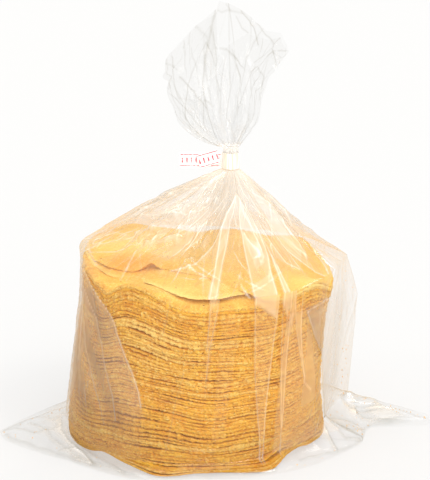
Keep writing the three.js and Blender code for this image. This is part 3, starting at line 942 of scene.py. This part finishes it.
def veilAt(degrees, height):
    # where the film stands off in loose folds, left of the long fold and before the fin: how grey it
    # looks with painted shade, and how hazy
    around = degrees * sideMm
    left, right = filmShape["leftVeil"], filmShape["rightVeil"]
    fading = 7 * (1 - smoothStep(22, 48, height))      # the fold flattens out near the table
    inside = smoothStep(-0.6 - fading, 0.2 + fading, lineTable(left["edge"], height) - degrees)
    inside = inside * smoothStep(168, 200, degrees)
    inside = inside * smoothStep(-6, 16, height) * (1 - smoothStep(90, 103, height))
    bands = left["depth"]
    for depth, wide, *line in left["bands"]:
        away, _ = foldLine(around, height, scaled(line, sideMm, 1))
        bands = bands + depth * hump(away, wide) * smoothStep(6, 38, height)
    veil = inside * np.clip(bands, 0, 0.85)
    haze = inside * (left["haze"] + 0.04 * bands) * (0.45 + 0.55 * smoothStep(18, 45, height))

    edge = lineTable(right["edge"], height)
    inside = smoothStep(-0.3, 0.3, degrees - edge) * (1 - smoothStep(340, 359, degrees))
    inside = inside * smoothStep(0, 12, height) * (1 - smoothStep(82, 95, height))
    along = np.exp(-np.clip(degrees - edge, 0, 90) / 9)
    away, _ = foldLine(around, height, scaled(right["line"], sideMm, 1))
    streaks = 0.75 + 0.25 * ripple(71, np.radians(degrees * 6), height / 60, 7, 2, 9, 0.3)
    finFoot = smoothStep(343, 348, degrees) * (1 - smoothStep(351, 359, degrees))
    finFoot = finFoot * smoothStep(20, 40, height) * (1 - smoothStep(85, 100, height))
    return (veil + 0.5 * hump(away, 0.8) + 0.2 * finFoot * streaks
            + right["depth"] * inside * (0.3 + 0.7 * along) * streaks,
            haze + right["haze"] * inside * (0.7 + 0.3 * streaks))


def tableRelief(x, y):
    # folds of the film that lies on the table, drawn in plan, with painted shade along each fold and on one
    # side
    lift, milk, grey = (np.zeros(x.shape) for _ in range(3))
    for strength, *line in filmShape["tableFolds"]:
        away, onSide = foldLine(x, y, line)
        lift = lift + 1.2 * strength * np.clip(1 - away / 3.5, 0, 1)
        milk = milk + strength * (onSide > 0) * (0.35 * np.exp(-away / 1.5) + 0.16 * np.exp(-away / 5))
        grey = grey + strength * (0.4 * hump(away, 1.0) + 0.07 * (onSide < 0) * np.exp(-away / 3))
    return lift, milk, grey


def filmColumns():
    # columns lie closer together at the front, where single folds are drawn on them
    evenly = np.arange(filmShape["columns"]) * tau / filmShape["columns"]
    return evenly - 0.38 * np.cos(evenly)


def buildFilm():
    flatColumn = filmColumns()
    rim = rimHeight(flatColumn)
    footTop = filmShape["footTop"]
    footRows = 1.2 + (footTop - 1.2) * np.linspace(0, 1, filmShape["footRows"]) ** 1.3
    heights = [np.full(len(flatColumn), level) for level in (0, 0.35, 0.7, *footRows)]
    bodyShares = np.linspace(0, 1, filmShape["bodyRows"] + 1)[1:]
    heights += [footTop + (rim - footTop) * share for share in bodyShares]
    level = np.array(heights)
    column = np.broadcast_to(flatColumn[None, :], level.shape)
    degrees = np.degrees(column) % 360

    lift, milk, grey = sideRelief(degrees, level)
    # the back and the fin have folds of their own, which narrow downwards
    layers, lines = darts(54, degrees, level / rim, sideDegrees, filmShape["backDarts"])
    behind = np.maximum(smoothStep(0.0, 0.3, np.sin(column)), smoothStep(0.975, 1.0, np.cos(column)))
    milk = milk + behind * (0.05 * layers + 0.3 * lines)
    grey = grey + behind * 0.07 * layers
    spreadOut = np.maximum(0, 1 - np.maximum(0, level - bag["earEdge"]) / skirtHeight(column))
    away = smoothStep(1.5, 12, level) * (1 - smoothStep(-4, 0, level - rim))
    creased = tents(21, degrees, level, filmShape["crumpled"]) * away
    clinging = smoothStep(25, 50, np.abs(np.degrees(turn(bag["finAngle"], column))))
    # where it clings, the film takes on a little of the layers behind it
    ridges = 0.08 * np.sin(level * tau / 5.6 + 1.2 * np.sin(3 * column) + 2 * np.sin(column))
    ridges = ridges * clinging * away
    hugging = filmRadius(column, level) + creased + ridges + lift * away
    reach = hugging + np.maximum(0, footReach(column) - hugging) * spreadOut
    # film that lies on the table is never quite flat
    onTable = spreadOut * (0.35 + 0.5 * (0.5 + 0.5 * np.sin(9 * column + level))
                           + 0.5 * np.sin(23 * column) ** 2)
    points = ring(leanAt(level), reach, column, level)
    tableLift, tableMilk, tableGrey = tableRelief(points[..., 0], points[..., 1])
    lying = smoothStep(0.02, 0.25, spreadOut) * smoothStep(0.3, 1.5, level)
    points[..., 2] += ((onTable + tableLift) * smoothStep(0.3, 2, level)
                       * np.maximum(lying, smoothStep(0, 0.02, spreadOut)))

    veil, haze = veilAt(degrees, level)
    gathered = np.where(level < 0.3, -1.0,
                        -0.4 * spreadOut + milk * (1 - 0.6 * spreadOut) + 1.3 * tableMilk * lying)
    gathered = gathered + haze + 0.2 * smoothStep(0.0, 0.5, np.sin(column)) * smoothStep(-9, -1, level - rim)
    # veil: painted shade from the loose folds, the fold flanks and the folds on the table
    veil = np.clip(veil + grey * away + tableGrey * lying, 0, 0.92)
    # warmth tints the milk with painted warm light from the maize behind it
    warmth = 0.7 * smoothStep(4, 20, level) * (1 - 0.6 * np.clip(haze / 0.15, 0, 1))
    return gridMesh("bag_film", points, bottom=(0, 0, 0.05), gathered=gathered, warmth=warmth, veil=veil)


def shoulderFolds(angle, share):
    # the film is gathered: few flat pleats leave the rim, and they split again and again near the neck
    sway = 0.10 * np.sin(2 * angle + 1.2) + 0.05 * np.sin(5 * angle + 2.5 * share)
    coarse = facetWave(11, angle, sway + 0.10 * share, 11)
    middle = facetWave(12, angle, -sway - 0.14 * share, 19)
    fine = facetWave(13, angle, 0.6 * sway + 0.25 * share, 34)
    return (2.4 * coarse + 1.3 * middle * smoothStep(0.12, 0.55, share)
            + 0.6 * fine * smoothStep(0.6, 0.9, share)) * np.sin(math.pi * np.clip(share, 0, 1)) ** 0.7


def buildShoulders():
    # from the rim of the stack up to the neck the film is gathered into ever more folds
    column = filmColumns()
    share = np.linspace(0, 1, filmShape["shoulderRows"])[:, None]
    level = rimHeight(column)
    neckX, neckRadius, tall = bag["neckX"], bag["neckRadius"], filmShape["shoulderTall"]
    start = ring(leanAt(level), filmRadius(column, level), column, level)
    points = start + (ring(neckX, neckRadius, column, bag["neckBottom"]) - start) * share[:, :, None]
    swell = bag["swellRight"] + (bag["swellLeft"] - bag["swellRight"]) * (1 - np.cos(column)) / 2
    points[:, :, 2] += swell * np.sin(math.pi * share) ** 0.8

    degrees, upwards = np.broadcast_arrays(np.degrees(column)[None, :] % 360, share * tall)
    perMm = perRadian / (neckRadius + (bag["tortillaRadius"] - neckRadius) * (1 - share))
    layers, lines = darts(51, degrees, share, perMm, filmShape["shoulderDarts"])
    wide, wideLines = darts(52, degrees, share, perMm, filmShape["wideDarts"])
    crease = (tents(22, degrees, upwards, filmShape["topCreases"])
              + tents(23, degrees, upwards, filmShape["leftCrumple"]))
    bell = np.sin(math.pi * share) ** 0.5
    offset = (shoulderFolds(column, share) + crease * bell * (1 - 0.5 * share)
              + (0.45 * layers + 0.9 * wide - 0.6) * bell)
    ridge = np.clip(np.abs(crease) / 1.4 - 0.35, 0, 1)
    milk = (0.03 + 0.035 * layers + 0.035 * wide + 0.14 * np.maximum(lines, wideLines) + 0.16 * ridge
            + 0.1 * smoothStep(0.05, 0.4, share) + 0.15 * share ** 4)
    # the pleats in the middle of the front lie several layers deep, and get painted shade there
    middle = hump(degreesPast(262, column), 17)
    veil = (0.04 + 0.05 * smoothStep(0.1, 0.5, share) + 0.04 * wide + 0.1 * wideLines
            + 0.18 * middle * smoothStep(0.1, 0.4, share) + 0.03 * np.maximum(np.cos(column), 0))
    veil = veil * (1 - smoothStep(0.85, 1, share))
    # the back lies close over the yellow edge and takes its colour, as painted warm light in its milk
    atBack = smoothStep(0.0, 0.5, np.sin(column)) * (1 - smoothStep(0.0, 0.5, share))
    milk = milk + 0.34 * atBack
    haze = milk
    for strength, beside, *line in filmShape["folds"]:
        away, onSide = foldLine(degrees, upwards, scaled(line, 1, tall))
        onSide = onSide * math.copysign(1, beside)
        offset = offset + 0.9 * strength * np.clip(1 - away / 3.5, 0, 1) * bell
        milk = milk + strength * (0.32 * hump(away, 0.55) + 0.16 * (onSide > 0) * np.exp(-away / abs(beside)))
        # painted shade on the flank of each fold away from its milky side
        veil = veil + strength * 0.1 * (onSide < 0) * np.exp(-away / 2.5)
    # hair lines that stand up are milky; the hollows get painted shade
    fine = tents(24, degrees, upwards, filmShape["fine"])
    milk = milk + 0.75 * np.clip(fine, 0, 1)
    veil = veil + 0.4 * np.clip(-fine, 0, 1)
    for amount, *shape in filmShape["shoulderPatches"]:
        milk = milk + amount * insideShape(degrees, upwards, scaled(shape, 1, tall), 0.4)
    outward = ring(0, 0.5, column, 0.85)
    points = points + outward * np.maximum(offset, -2.2 * bell)[:, :, None]
    milk = np.clip(milk, 0, 0.9)
    white = np.clip((milk - haze) / 0.3, 0, 0.8)
    # painted warm light from the maize, strongest near the rim
    warmth = 0.75 * (1 - smoothStep(0.0, 0.5, share)) * (1 - white) + 0.08 * smoothStep(0.0, 0.5, share)
    warmth = np.maximum(warmth, 0.75 * atBack ** 0.5)

    # the neck is a straight, tightly gathered tube
    steps = np.linspace(0, 1, filmShape["neckRows"])[1:, None]
    height = bag["neckBottom"] + (bag["neckTop"] - bag["neckBottom"]) * steps
    radius = neckRadius - 0.25 + 0.35 * facetWave(14, column, 0.1 * np.sin(height), 30)
    neck = ring(neckX, radius + 0.3 * smoothStep(0.7, 1, steps), column, height)
    neckMilk = np.broadcast_to(0.8 + 0.15 * facetWave(15, column, 0, 23), neck.shape[:2])
    looks = {"gathered": (milk, neckMilk),
             "warmth": (warmth, np.full(neckMilk.shape, 0.06)),
             "veil": (np.clip(veil, 0, 0.7), np.full(neckMilk.shape, 0.03))}
    return gridMesh("bag_shoulders", np.concatenate([points, neck]),
                    **{name: np.concatenate(parts) for name, parts in looks.items()})


film = buildFilm()
shoulders = buildShoulders()
for piece in (film, shoulders):
    giveMaterial(piece, filmMaterial, creaseDegrees=32)
print("film wrapped:", len(film.data.polygons), len(shoulders.data.polygons))


# Crumbs between the film and the table

crumbs = {
    "size": 0.7,             # millimetres
    "seed": 9,
    "placeSeed": 71,
    # where: direction from and to, height from and to, how many
    "places": [[348, 372, 1.5, 16, 46], [176, 196, 1.5, 12, 16], [352, 368, 20, 95, 26],
               [200, 345, 1.5, 9, 22]],
}


def crumbTree():
    # Geometry Nodes put a lumpy ball, turned and stretched at random, on each point of a mesh
    tree, group = newTree("crumbs of dough", {"Geometry": "Geometry", "Radius": "Float", "Seed": "Int",
                                              "Dough": "Material"})
    ball = addNode(tree, "GeometryNodeMeshIcoSphere", {"Radius": group["Radius"], "Subdivisions": 3})
    lumps = addNode(tree, "TexNoise", {"Scale": 1.6 / (crumbs["size"] * mm)})
    centred = addNode(tree, "VectorMath", {0: lumps.outputs["Color"], 1: (0.5, 0.5, 0.5)},
                      operation="SUBTRACT")
    push = addNode(tree, "VectorMath", {0: centred, "Scale": group["Radius"]}, operation="SCALE")
    crumb = addNode(tree, "GeometryNodeSetPosition", {"Geometry": ball, "Offset": push})
    spin, grow = (addNode(tree, "FunctionNodeRandomValue", {"Min": low, "Max": high, "Seed": group["Seed"]},
                          data_type="FLOAT_VECTOR")
                  for low, high in (((0, 0, 0), (tau, tau, tau)), ((0.35, 0.35, 0.3), (1.3, 1.1, 0.8))))
    placed = addNode(tree, "GeometryNodeInstanceOnPoints", {"Points": group["Geometry"], "Instance": crumb,
                                                            "Rotation": spin, "Scale": grow})
    return endTree(tree, placed, group["Dough"])


def scatterCrumbs(film):
    # each crumb lies just inside a corner of the film's mesh, picked at random within its place
    corners = readPoints(film.data)
    degrees = np.degrees(np.arctan2(corners[:, 1], corners[:, 0])) % 360
    height = corners[:, 2] / mm
    rng = np.random.default_rng(crumbs["placeSeed"])
    chosen = []
    for start, end, low, high, count in crumbs["places"]:
        spots = np.flatnonzero(((degrees - start) % 360 < end - start) & (height > low) & (height < high))
        chosen.extend(rng.choice(spots, min(count, len(spots)), replace=False))
    spots = corners[chosen] * [0.985, 0.985, 1] - [0, 0, 0.7 * mm]
    spots[:, 2] = np.maximum(spots[:, 2], 0.5 * crumbs["size"] * mm)
    mesh = bpy.data.meshes.new("crumb places")
    mesh.from_pydata(spots.tolist(), [], [])
    places = bpy.data.objects.new("crumb places", mesh)
    piece = bakeNodes(places, crumbTree(), {"Radius": crumbs["size"] / 2 * mm, "Seed": crumbs["seed"],
                                            "Dough": doughMaterial}, "tortilla_crumbs")
    giveMaterial(piece, doughMaterial)
    bpy.data.objects.remove(places)
    return piece


crumbPiece = scatterCrumbs(film)
stackPieces.append(crumbPiece)
print("crumbs dropped:", len(crumbPiece.data.polygons))


# Mouth of the bag

mouth = {
    "columns": 620,
    "rows": 140,
    "reach": 26,             # how much wider than the neck it opens
    "innerRows": 60,
    "innerHeight": 0.62,     # how far up the pleats inside it reach, as a share of its height
    "left": [[15.8, 0, 169], [5, 0, 172], [-7, 0, 180], [-15, 0, 194], [-18.5, 0, 207], [-18.5, 0, 219]],
    "right": [[24.2, 0, 169], [28, 0, 174], [35, 0, 184], [37.5, 0, 198], [45, 0, 212], [53.5, 0, 223]],
    "front": [[20, -4.2, 169], [20, -8, 174], [20, -15, 184], [19, -20, 198], [18, -23, 213], [17, -24, 228]],
    "back": [[20, 4.2, 169], [20, 8, 174], [19, 15, 186], [18, 21, 206], [17, 23, 228], [16, 20, 247]],
    "lobes": 7,
    "peak": math.radians(98),
    "notch": 6,
    # corners of the panels: direction at the lip, 1 outwards or less inwards, turn towards the neck, then
    # how far the lip lies to the right and up from an even mouth, and the middle to the right, in mm
    "corners": [
        [2, 1.0, 4, -0.9, 0.4, 0.0], [22, 0.9, -4, 0.8, 7.9, 0.0], [44, 1.0, 0, -3.2, -5.4, 0.0],
        [58, 0.9, 4, -1.6, -0.7, 0.0], [70, 0.85, 8, -1.5, 3.3, 0.0], [84, 0.95, 14, -1.8, 3.5, 0.0],
        [98, 1.0, 24, 1.6, 0.2, 0.0], [110, 0.8, 20, 4.1, -0.7, 0.0], [126, 0.85, 12, 1.2, -0.3, 0.0],
        [150, 1.0, 0, 5.6, -4.7, 0.0], [170, 0.95, 0, 0.2, 1.2, 0.0], [186, 1.0, 0, 1.8, 2.4, 0.0],
        [204, 0.95, 4, 6.0, 6.5, 0.0], [222, 1.0, 8, 10.0, 19.0, 0.0],
        [237, 0.9, 10, 12.2, 25.9, -4.6], [246, 0.8, 6, 7.5, -3.6, -2.3],
        [266, 1.0, -6, 5.7, 5.8, 0.0], [284, 0.86, -4, 4.4, 11.6, 0.0], [303, 1.0, 6, -2.6, 5.5, 0.0],
        [325, 0.85, 10, -0.8, 9.8, 0.0], [342, 0.97, 4, -3.5, 10.7, 0.0],
        [353, 1.0, 2, -1.9, -0.1, 0.0]],
    # creases on the unrolled mouth, in millimetres round it and up from the neck; their height is a share
    # of its reach
    "unrolled": (170, 62),
    "creases": {"count": 110, "x": (0, 170), "y": (8, 62), "tilt": math.radians(75), "spread": 0.8,
                "length": (6, 24), "width": (1.5, 5), "height": (0.02, 0.09), "wrap": 170},
    # hair lines, some dark with painted shade and some light
    "fine": {"count": 90, "x": (0, 170), "y": (14, 60), "tilt": math.radians(80), "spread": 0.55,
             "length": (6, 22), "width": (0.45, 0.9), "height": (0.15, 0.75), "wrap": 170},
    "darts": {"count": 54, "start": (0.35, 0.95), "half": (3, 10), "lean": 26, "flare": 1.1, "line": 0.4},
    # single folds that show from the front: how strong, then [direction, share of the way to the lip]
    "folds": [
        [0.6, [237, 1.0], [239, 0.92], [240, 0.86], [241, 0.71], [241, 0.61], [242, 0.55], [244, 0.45],
         [244, 0.33],
         [238, 0.16]],
        [0.45, [240, 0.94], [243, 0.96], [247, 0.97], [248, 0.9], [252, 0.78], [257, 0.68]],
        [0.6, [196, 0.95], [200, 0.81], [200, 0.68], [202, 0.58], [204, 0.47], [206, 0.34], [204, 0.17]],
        [0.4, [188, 0.98], [192, 0.82], [192, 0.7], [193, 0.57], [196, 0.45], [200, 0.3]],
        [0.7, [209, 0.74], [222, 0.63], [232, 0.54], [243, 0.46]],
        [0.35, [222, 1.0], [230, 0.92], [240, 0.84]],
        [0.25, [202, 0.61], [214, 0.57], [226, 0.53]],
        [0.4, [110, 0.97], [93, 0.94], [81, 0.96], [70, 0.98]],
        [0.35, [87, 0.99], [81, 0.96]],
        [0.8, [70, 0.99], [62, 0.97], [56, 0.95], [48, 0.87]],
        [0.5, [75, 0.94], [68, 0.89], [61, 0.89]],
        [0.6, [54, 1.0], [48, 0.98], [36, 0.95], [26, 0.91]],
        [0.7, [342, 0.99], [334, 0.95], [346, 0.87], [352, 0.84]],
        [0.4, [306, 0.83], [322, 0.87], [336, 0.93]],
        [0.5, [301, 0.76], [316, 0.8], [346, 0.7], [348, 0.57]],
        [0.4, [268, 0.95], [284, 0.7], [286, 0.46]],
        [0.4, [291, 0.87], [288, 0.67], [283, 0.48]],
        [0.5, [310, 0.8], [300, 0.67], [286, 0.46]],
        [0.35, [260, 0.92], [258, 0.76], [258, 0.53]],
        [0.35, [267, 0.79], [270, 0.66], [264, 0.43]],
        [0.5, [310, 0.45], [329, 0.35], [324, 0.18]],
        [0.35, [230, 0.53], [224, 0.43], [222, 0.32], [214, 0.15]],
    ],
    # soft places of painted shade: direction, share, their spread, and how grey
    "greys": [[243, 0.92, 4, 0.07, 0.12], [325, 0.42, 14, 0.10, 0.06]],
}


def ribAt(points, share):
    # centripetal Catmull-Rom curve through the rib's points, as in the part's source
    points = np.array(points, float)
    where = share * (len(points) - 1)
    index = min(int(where), len(points) - 2)
    weight = where - index
    p1, p2 = points[index], points[index + 1]
    p0 = points[index - 1] if index > 0 else 2 * p1 - p2
    p3 = points[index + 2] if index + 2 < len(points) else 2 * p2 - p1
    d0, d1, d2 = (max(np.sum((b - a) ** 2) ** 0.25, 1e-4) for a, b in ((p0, p1), (p1, p2), (p2, p3)))
    t1 = ((p1 - p0) / d0 - (p2 - p0) / (d0 + d1) + (p2 - p1) / d1) * d1
    t2 = ((p2 - p1) / d1 - (p3 - p1) / (d1 + d2) + (p3 - p2) / d2) * d1
    return (p1 + weight * t1 + weight**2 * (-3 * p1 + 3 * p2 - 2 * t1 - t2)
            + weight**3 * (2 * p1 - 2 * p2 + t1 + t2))


ribShares = np.linspace(0, 1, 241)
ribs = {side: np.array([ribAt(mouth[side], share) for share in ribShares])
        for side in ("left", "right", "front", "back")}


def rib(side, axis, share):
    return np.interp(share, ribShares, ribs[side][:, axis])


def mouthPoint(angle, share, foldDepth):
    toRight, toBack = np.cos(angle) > 0, np.sin(angle) > 0
    middle = (rib("front", 0, share) + rib("back", 0, share)) / 2
    acrossX, acrossZ = (np.where(toRight, rib("right", axis, share), rib("left", axis, share))
                        for axis in (0, 2))
    alongY = np.where(toBack, rib("back", 1, share), -rib("front", 1, share))
    alongZ = np.where(toBack, rib("back", 2, share), rib("front", 2, share))
    hollow = np.abs(np.sin(mouth["lobes"] / 2 * (angle - mouth["peak"])))
    lift = np.abs(np.sin(angle)) ** np.where(toRight, 1.5, 1.3)
    z = acrossZ + (alongZ - acrossZ) * lift + mouth["notch"] * share**2 * (0.5 - hollow)
    x = middle + np.abs(acrossX - middle) * np.cos(angle) * foldDepth
    return np.stack([x, alongY * np.sin(angle) * foldDepth, z], axis=-1)


def panelRow(angle, share):
    # flat panels of film between corners that run up from the neck, where they fold in the deepest
    direction, outwards, twist, lipRight, lipUp, middleRight = np.transpose(mouth["corners"])
    at = np.radians(direction + twist * (1 - share))
    posts = mouthPoint(at, share, 1 - (1 - outwards) * (1 + 0.5 * (1 - share)))
    posts[:, 0] += lipRight * share**2 + middleRight * 4 * share * (1 - share)
    posts[:, 2] += lipUp * share**1.5
    posts = np.concatenate([posts, posts[:1]])
    at = np.append(at, at[0] + tau)
    where = at[0] + (angle - at[0]) % tau
    return np.stack([np.interp(where, at, posts[:, axis]) for axis in range(3)], axis=-1)


def mouthLooks(angle, share):
    # the unrolled sheet's folds: height as a share of its reach, milkiness, and grey, which is painted shade
    turns, shares = np.broadcast_arrays(np.degrees(angle)[None, :], share[:, None])
    perDegree, tall = mouth["unrolled"][0] / 360, mouth["unrolled"][1]
    around, upwards = turns * perDegree, shares * tall
    perMm = perRadian / (bag["neckRadius"] + mouth["reach"] * share[:, None])
    layers, lines = darts(53, turns, 1 - shares, perMm, mouth["darts"])
    relief = tents(33, around, upwards, mouth["creases"])
    milk = (0.6 * (1 - smoothStep(0.0, 0.2, shares)) + 0.7 * (1 - smoothStep(0.0, 0.09, shares)) - 0.5
            - 0.2 * (1 - shares) + 0.02 * layers + 0.6 * lines)
    grey = 0.04 + 0.13 * lines * (0.25 + 0.75 * smoothStep(0.1, 0.6, shares))
    fine = tents(34, around, upwards, mouth["fine"])
    grey = grey + 0.45 * np.clip(fine, 0, 1)
    milk = milk + 1.7 * np.clip(-fine, 0, 1)
    for strength, *points in mouth["folds"]:
        away, side = foldLine(around, upwards, scaled(points, perDegree, tall))
        relief = relief + 0.035 * strength * np.clip(1 - away / 2.2, 0, 1)
        grey = grey + strength * (0.42 * hump(away, 0.36) + 0.1 * (side > 0) * np.exp(-away / 1.6))
        milk = milk + strength * 0.9 * (side < 0) * np.exp(-away / 0.8)
    for direction, where, wide, high, amount in mouth["greys"]:
        off = degreesPast(direction, np.radians(turns))
        grey = grey + amount * hump(off, wide) * hump(shares - where, high)
    return relief, np.clip(milk, -0.7, 0.9), np.clip(grey * smoothStep(0.0, 0.12, shares), 0, 0.8)


def buildMouth():
    evenly = np.arange(mouth["columns"]) * tau / mouth["columns"]
    angle = (evenly - 0.35 * np.cos(evenly)) % tau
    shares = np.linspace(0, 1, mouth["rows"])
    relief, milk, grey = mouthLooks(angle, shares)
    rows = []
    for row, share in enumerate(shares):
        points = panelRow(angle, share)
        outward = (points - points.mean(axis=0)) * (1, 1, 0)
        pleats = (0.16 * facetWave(31, angle, 0.2 * share, 17) * (1 - smoothStep(0.1, 0.6, share))
                  + 0.08 * facetWave(32, angle, -0.25 * share, 31) * (1 - smoothStep(0.1, 0.5, share)))
        change = np.minimum((pleats + relief[row]) * smoothStep(0, 0.12, share), 0.035)
        rows.append(points + outward * change[:, None])
    return gridMesh("bag_mouth", np.array(rows), gathered=milk, veil=grey)


def buildInnerFolds():
    # the bag is three times as wide as its mouth shows: the rest lies in deep pleats inside it
    angle = np.arange(mouth["columns"]) * tau / mouth["columns"]
    shares = np.linspace(0, 1, mouth["innerRows"])
    ends = 0.5 + 0.1 * facetWave(41, angle, 0, 9) + 0.12 * np.sin(angle - 0.6)
    rows = []
    for share in shares:
        points = panelRow(angle, share * mouth["innerHeight"])
        centre = points.mean(axis=0)
        depth = 0.55 + 0.4 * facetWave(42, angle, 0.3 * share, 12) + 0.1 * facetWave(43, angle, 0, 27)
        opened = np.clip(depth, 0.12, 1.0) * (1 - 0.5 * share ** 2) + 0.46 * share ** 2
        points = centre + (points - centre) * (opened * 0.93)[:, None]
        points[:, 2] += (ends - 0.55) * 60 * share ** 2
        rows.append(points)
    gathered = 0.4 * (1 - smoothStep(0.0, 0.25, shares))[:, None] - 0.8 + 0 * angle
    return gridMesh("bag_mouth_folds", np.array(rows), gathered=gathered, veil=0 * gathered)


bagMouth = buildMouth()
innerFolds = buildInnerFolds()
for piece in (bagMouth, innerFolds):
    giveMaterial(piece, filmMaterial, creaseDegrees=24)
print("mouth opened:", len(bagMouth.data.polygons))


# Tape

for node, tilt, centre in (("tape_band", 0, (8, 0, 161.8)),
                           ("tape_end", math.radians(16), (7.3, -0.9, 162.6))):
    giveMaterial(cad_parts[node], printedTape("printed sealing tape " + node[5:], tilt, centre))
print("tape printed")


# Frame and stage

for piece in stackPieces:
    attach(piece, "root")
    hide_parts("bag")
for piece in (film, shoulders, bagMouth, innerFolds):
    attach(piece, "root")
    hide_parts("bag")

stage = {
    "floor": "#8c8c8b",
    "floorGlow": 0.56,       # the table top is lit from below as well, which softens the shadow on it
    "floorSize": 12,
    "floorDrop": 0.0006,
    # each lamp: tilt from overhead, turn from the camera's side to its right, spread (degrees), power
    "lamps": {
        "wide softbox": [30, 30, 60, 1.1],
        "key softbox": [42, 48, 16, 0.55],
        "left strip": [58, -62, 12, 0.16],
        "front softbox": [64, 8, 50, 0.8],
        "back strip": [48, 160, 14, 0.3],
    },
    "lampColour": "#fffaf4",
    "sky": "#fdfeff",
    "skyTop": 1.05,
    "skyFront": 1.02,        # low down behind the camera
    "skyBack": 1.0,          # low down behind the object
    "focal": 1883 / 430,     # as a share of the photo's width
    "camera": [10.988, -1050, 385],
    "cameraTilt": 75.565252,
}


def addToScene(name, data):
    thing = bpy.data.objects.new(name, data)
    bpy.context.collection.objects.link(thing)
    return thing


def buildStage():
    half, low = stage["floorSize"] / 2, -stage["floorDrop"]
    mesh = bpy.data.meshes.new("floor")
    mesh.from_pydata([(-half, -half, low), (half, -half, low), (half, half, low), (-half, half, low)],
                     [], [(0, 1, 2, 3)])
    floor = addToScene("floor", mesh)
    material, tree = newMaterial("white acrylic table top")
    acrylic = addNode(tree, "BsdfDiffuse", {"Color": stage["floor"]})
    glow = addNode(tree, "Emission", {"Strength": stage["floorGlow"]})
    addNode(tree, "OutputMaterial", {"Surface": addNode(tree, "AddShader", {0: acrylic, 1: glow})})
    giveMaterial(floor, material)

    world = bpy.data.worlds.new("studio")
    bpy.context.scene.world = world
    world.use_nodes = True
    tree = world.node_tree
    tree.nodes.clear()
    axes = addNode(tree, "SeparateXYZ", {"Vector": addNode(tree, "TexCoord").outputs["Generated"]}).outputs
    around = addNode(tree, "MapRange", {"Value": axes["Y"], "From Min": -0.6, "From Max": 0.5,
                                        "To Min": stage["skyFront"], "To Max": stage["skyBack"]},
                     interpolation_type="SMOOTHSTEP")
    ramp = addNode(tree, "MapRange", {"Value": axes["Z"], "From Min": 0.08, "From Max": 0.65,
                                      "To Min": around, "To Max": stage["skyTop"]},
                   interpolation_type="SMOOTHSTEP")
    sky = addNode(tree, "Background", {"Color": stage["sky"], "Strength": ramp})
    addNode(tree, "OutputWorld", {"Surface": sky})

    for name, (*degrees, spread, power) in stage["lamps"].items():
        lamp = bpy.data.lights.new(name, "SUN")
        lamp.energy = power
        lamp.angle = math.radians(spread)
        lamp.color = linearColour(stage["lampColour"])[:3]
        tilt, side = map(math.radians, degrees)
        low = math.sin(tilt)
        direction = Vector((low * math.sin(side), -low * math.cos(side), math.cos(tilt)))
        addToScene(name, lamp).rotation_euler = direction.to_track_quat("Z", "Y").to_euler()

    camera = bpy.data.cameras.new("camera")
    camera.sensor_fit = "HORIZONTAL"
    camera.sensor_width = 36
    camera.lens = stage["focal"] * camera.sensor_width
    camera.clip_end = 50
    viewer = addToScene("camera", camera)
    viewer.location = [value * mm for value in stage["camera"]]
    viewer.rotation_euler = (math.radians(stage["cameraTilt"]), 0, 0)
    scene = bpy.context.scene
    scene.camera = viewer
    scene.view_settings.view_transform = "Standard"
    scene.view_settings.look = "None"
    scene.cycles.transparent_max_bounces = 48
    scene.cycles.max_bounces = 8


buildStage()
print("stage set")
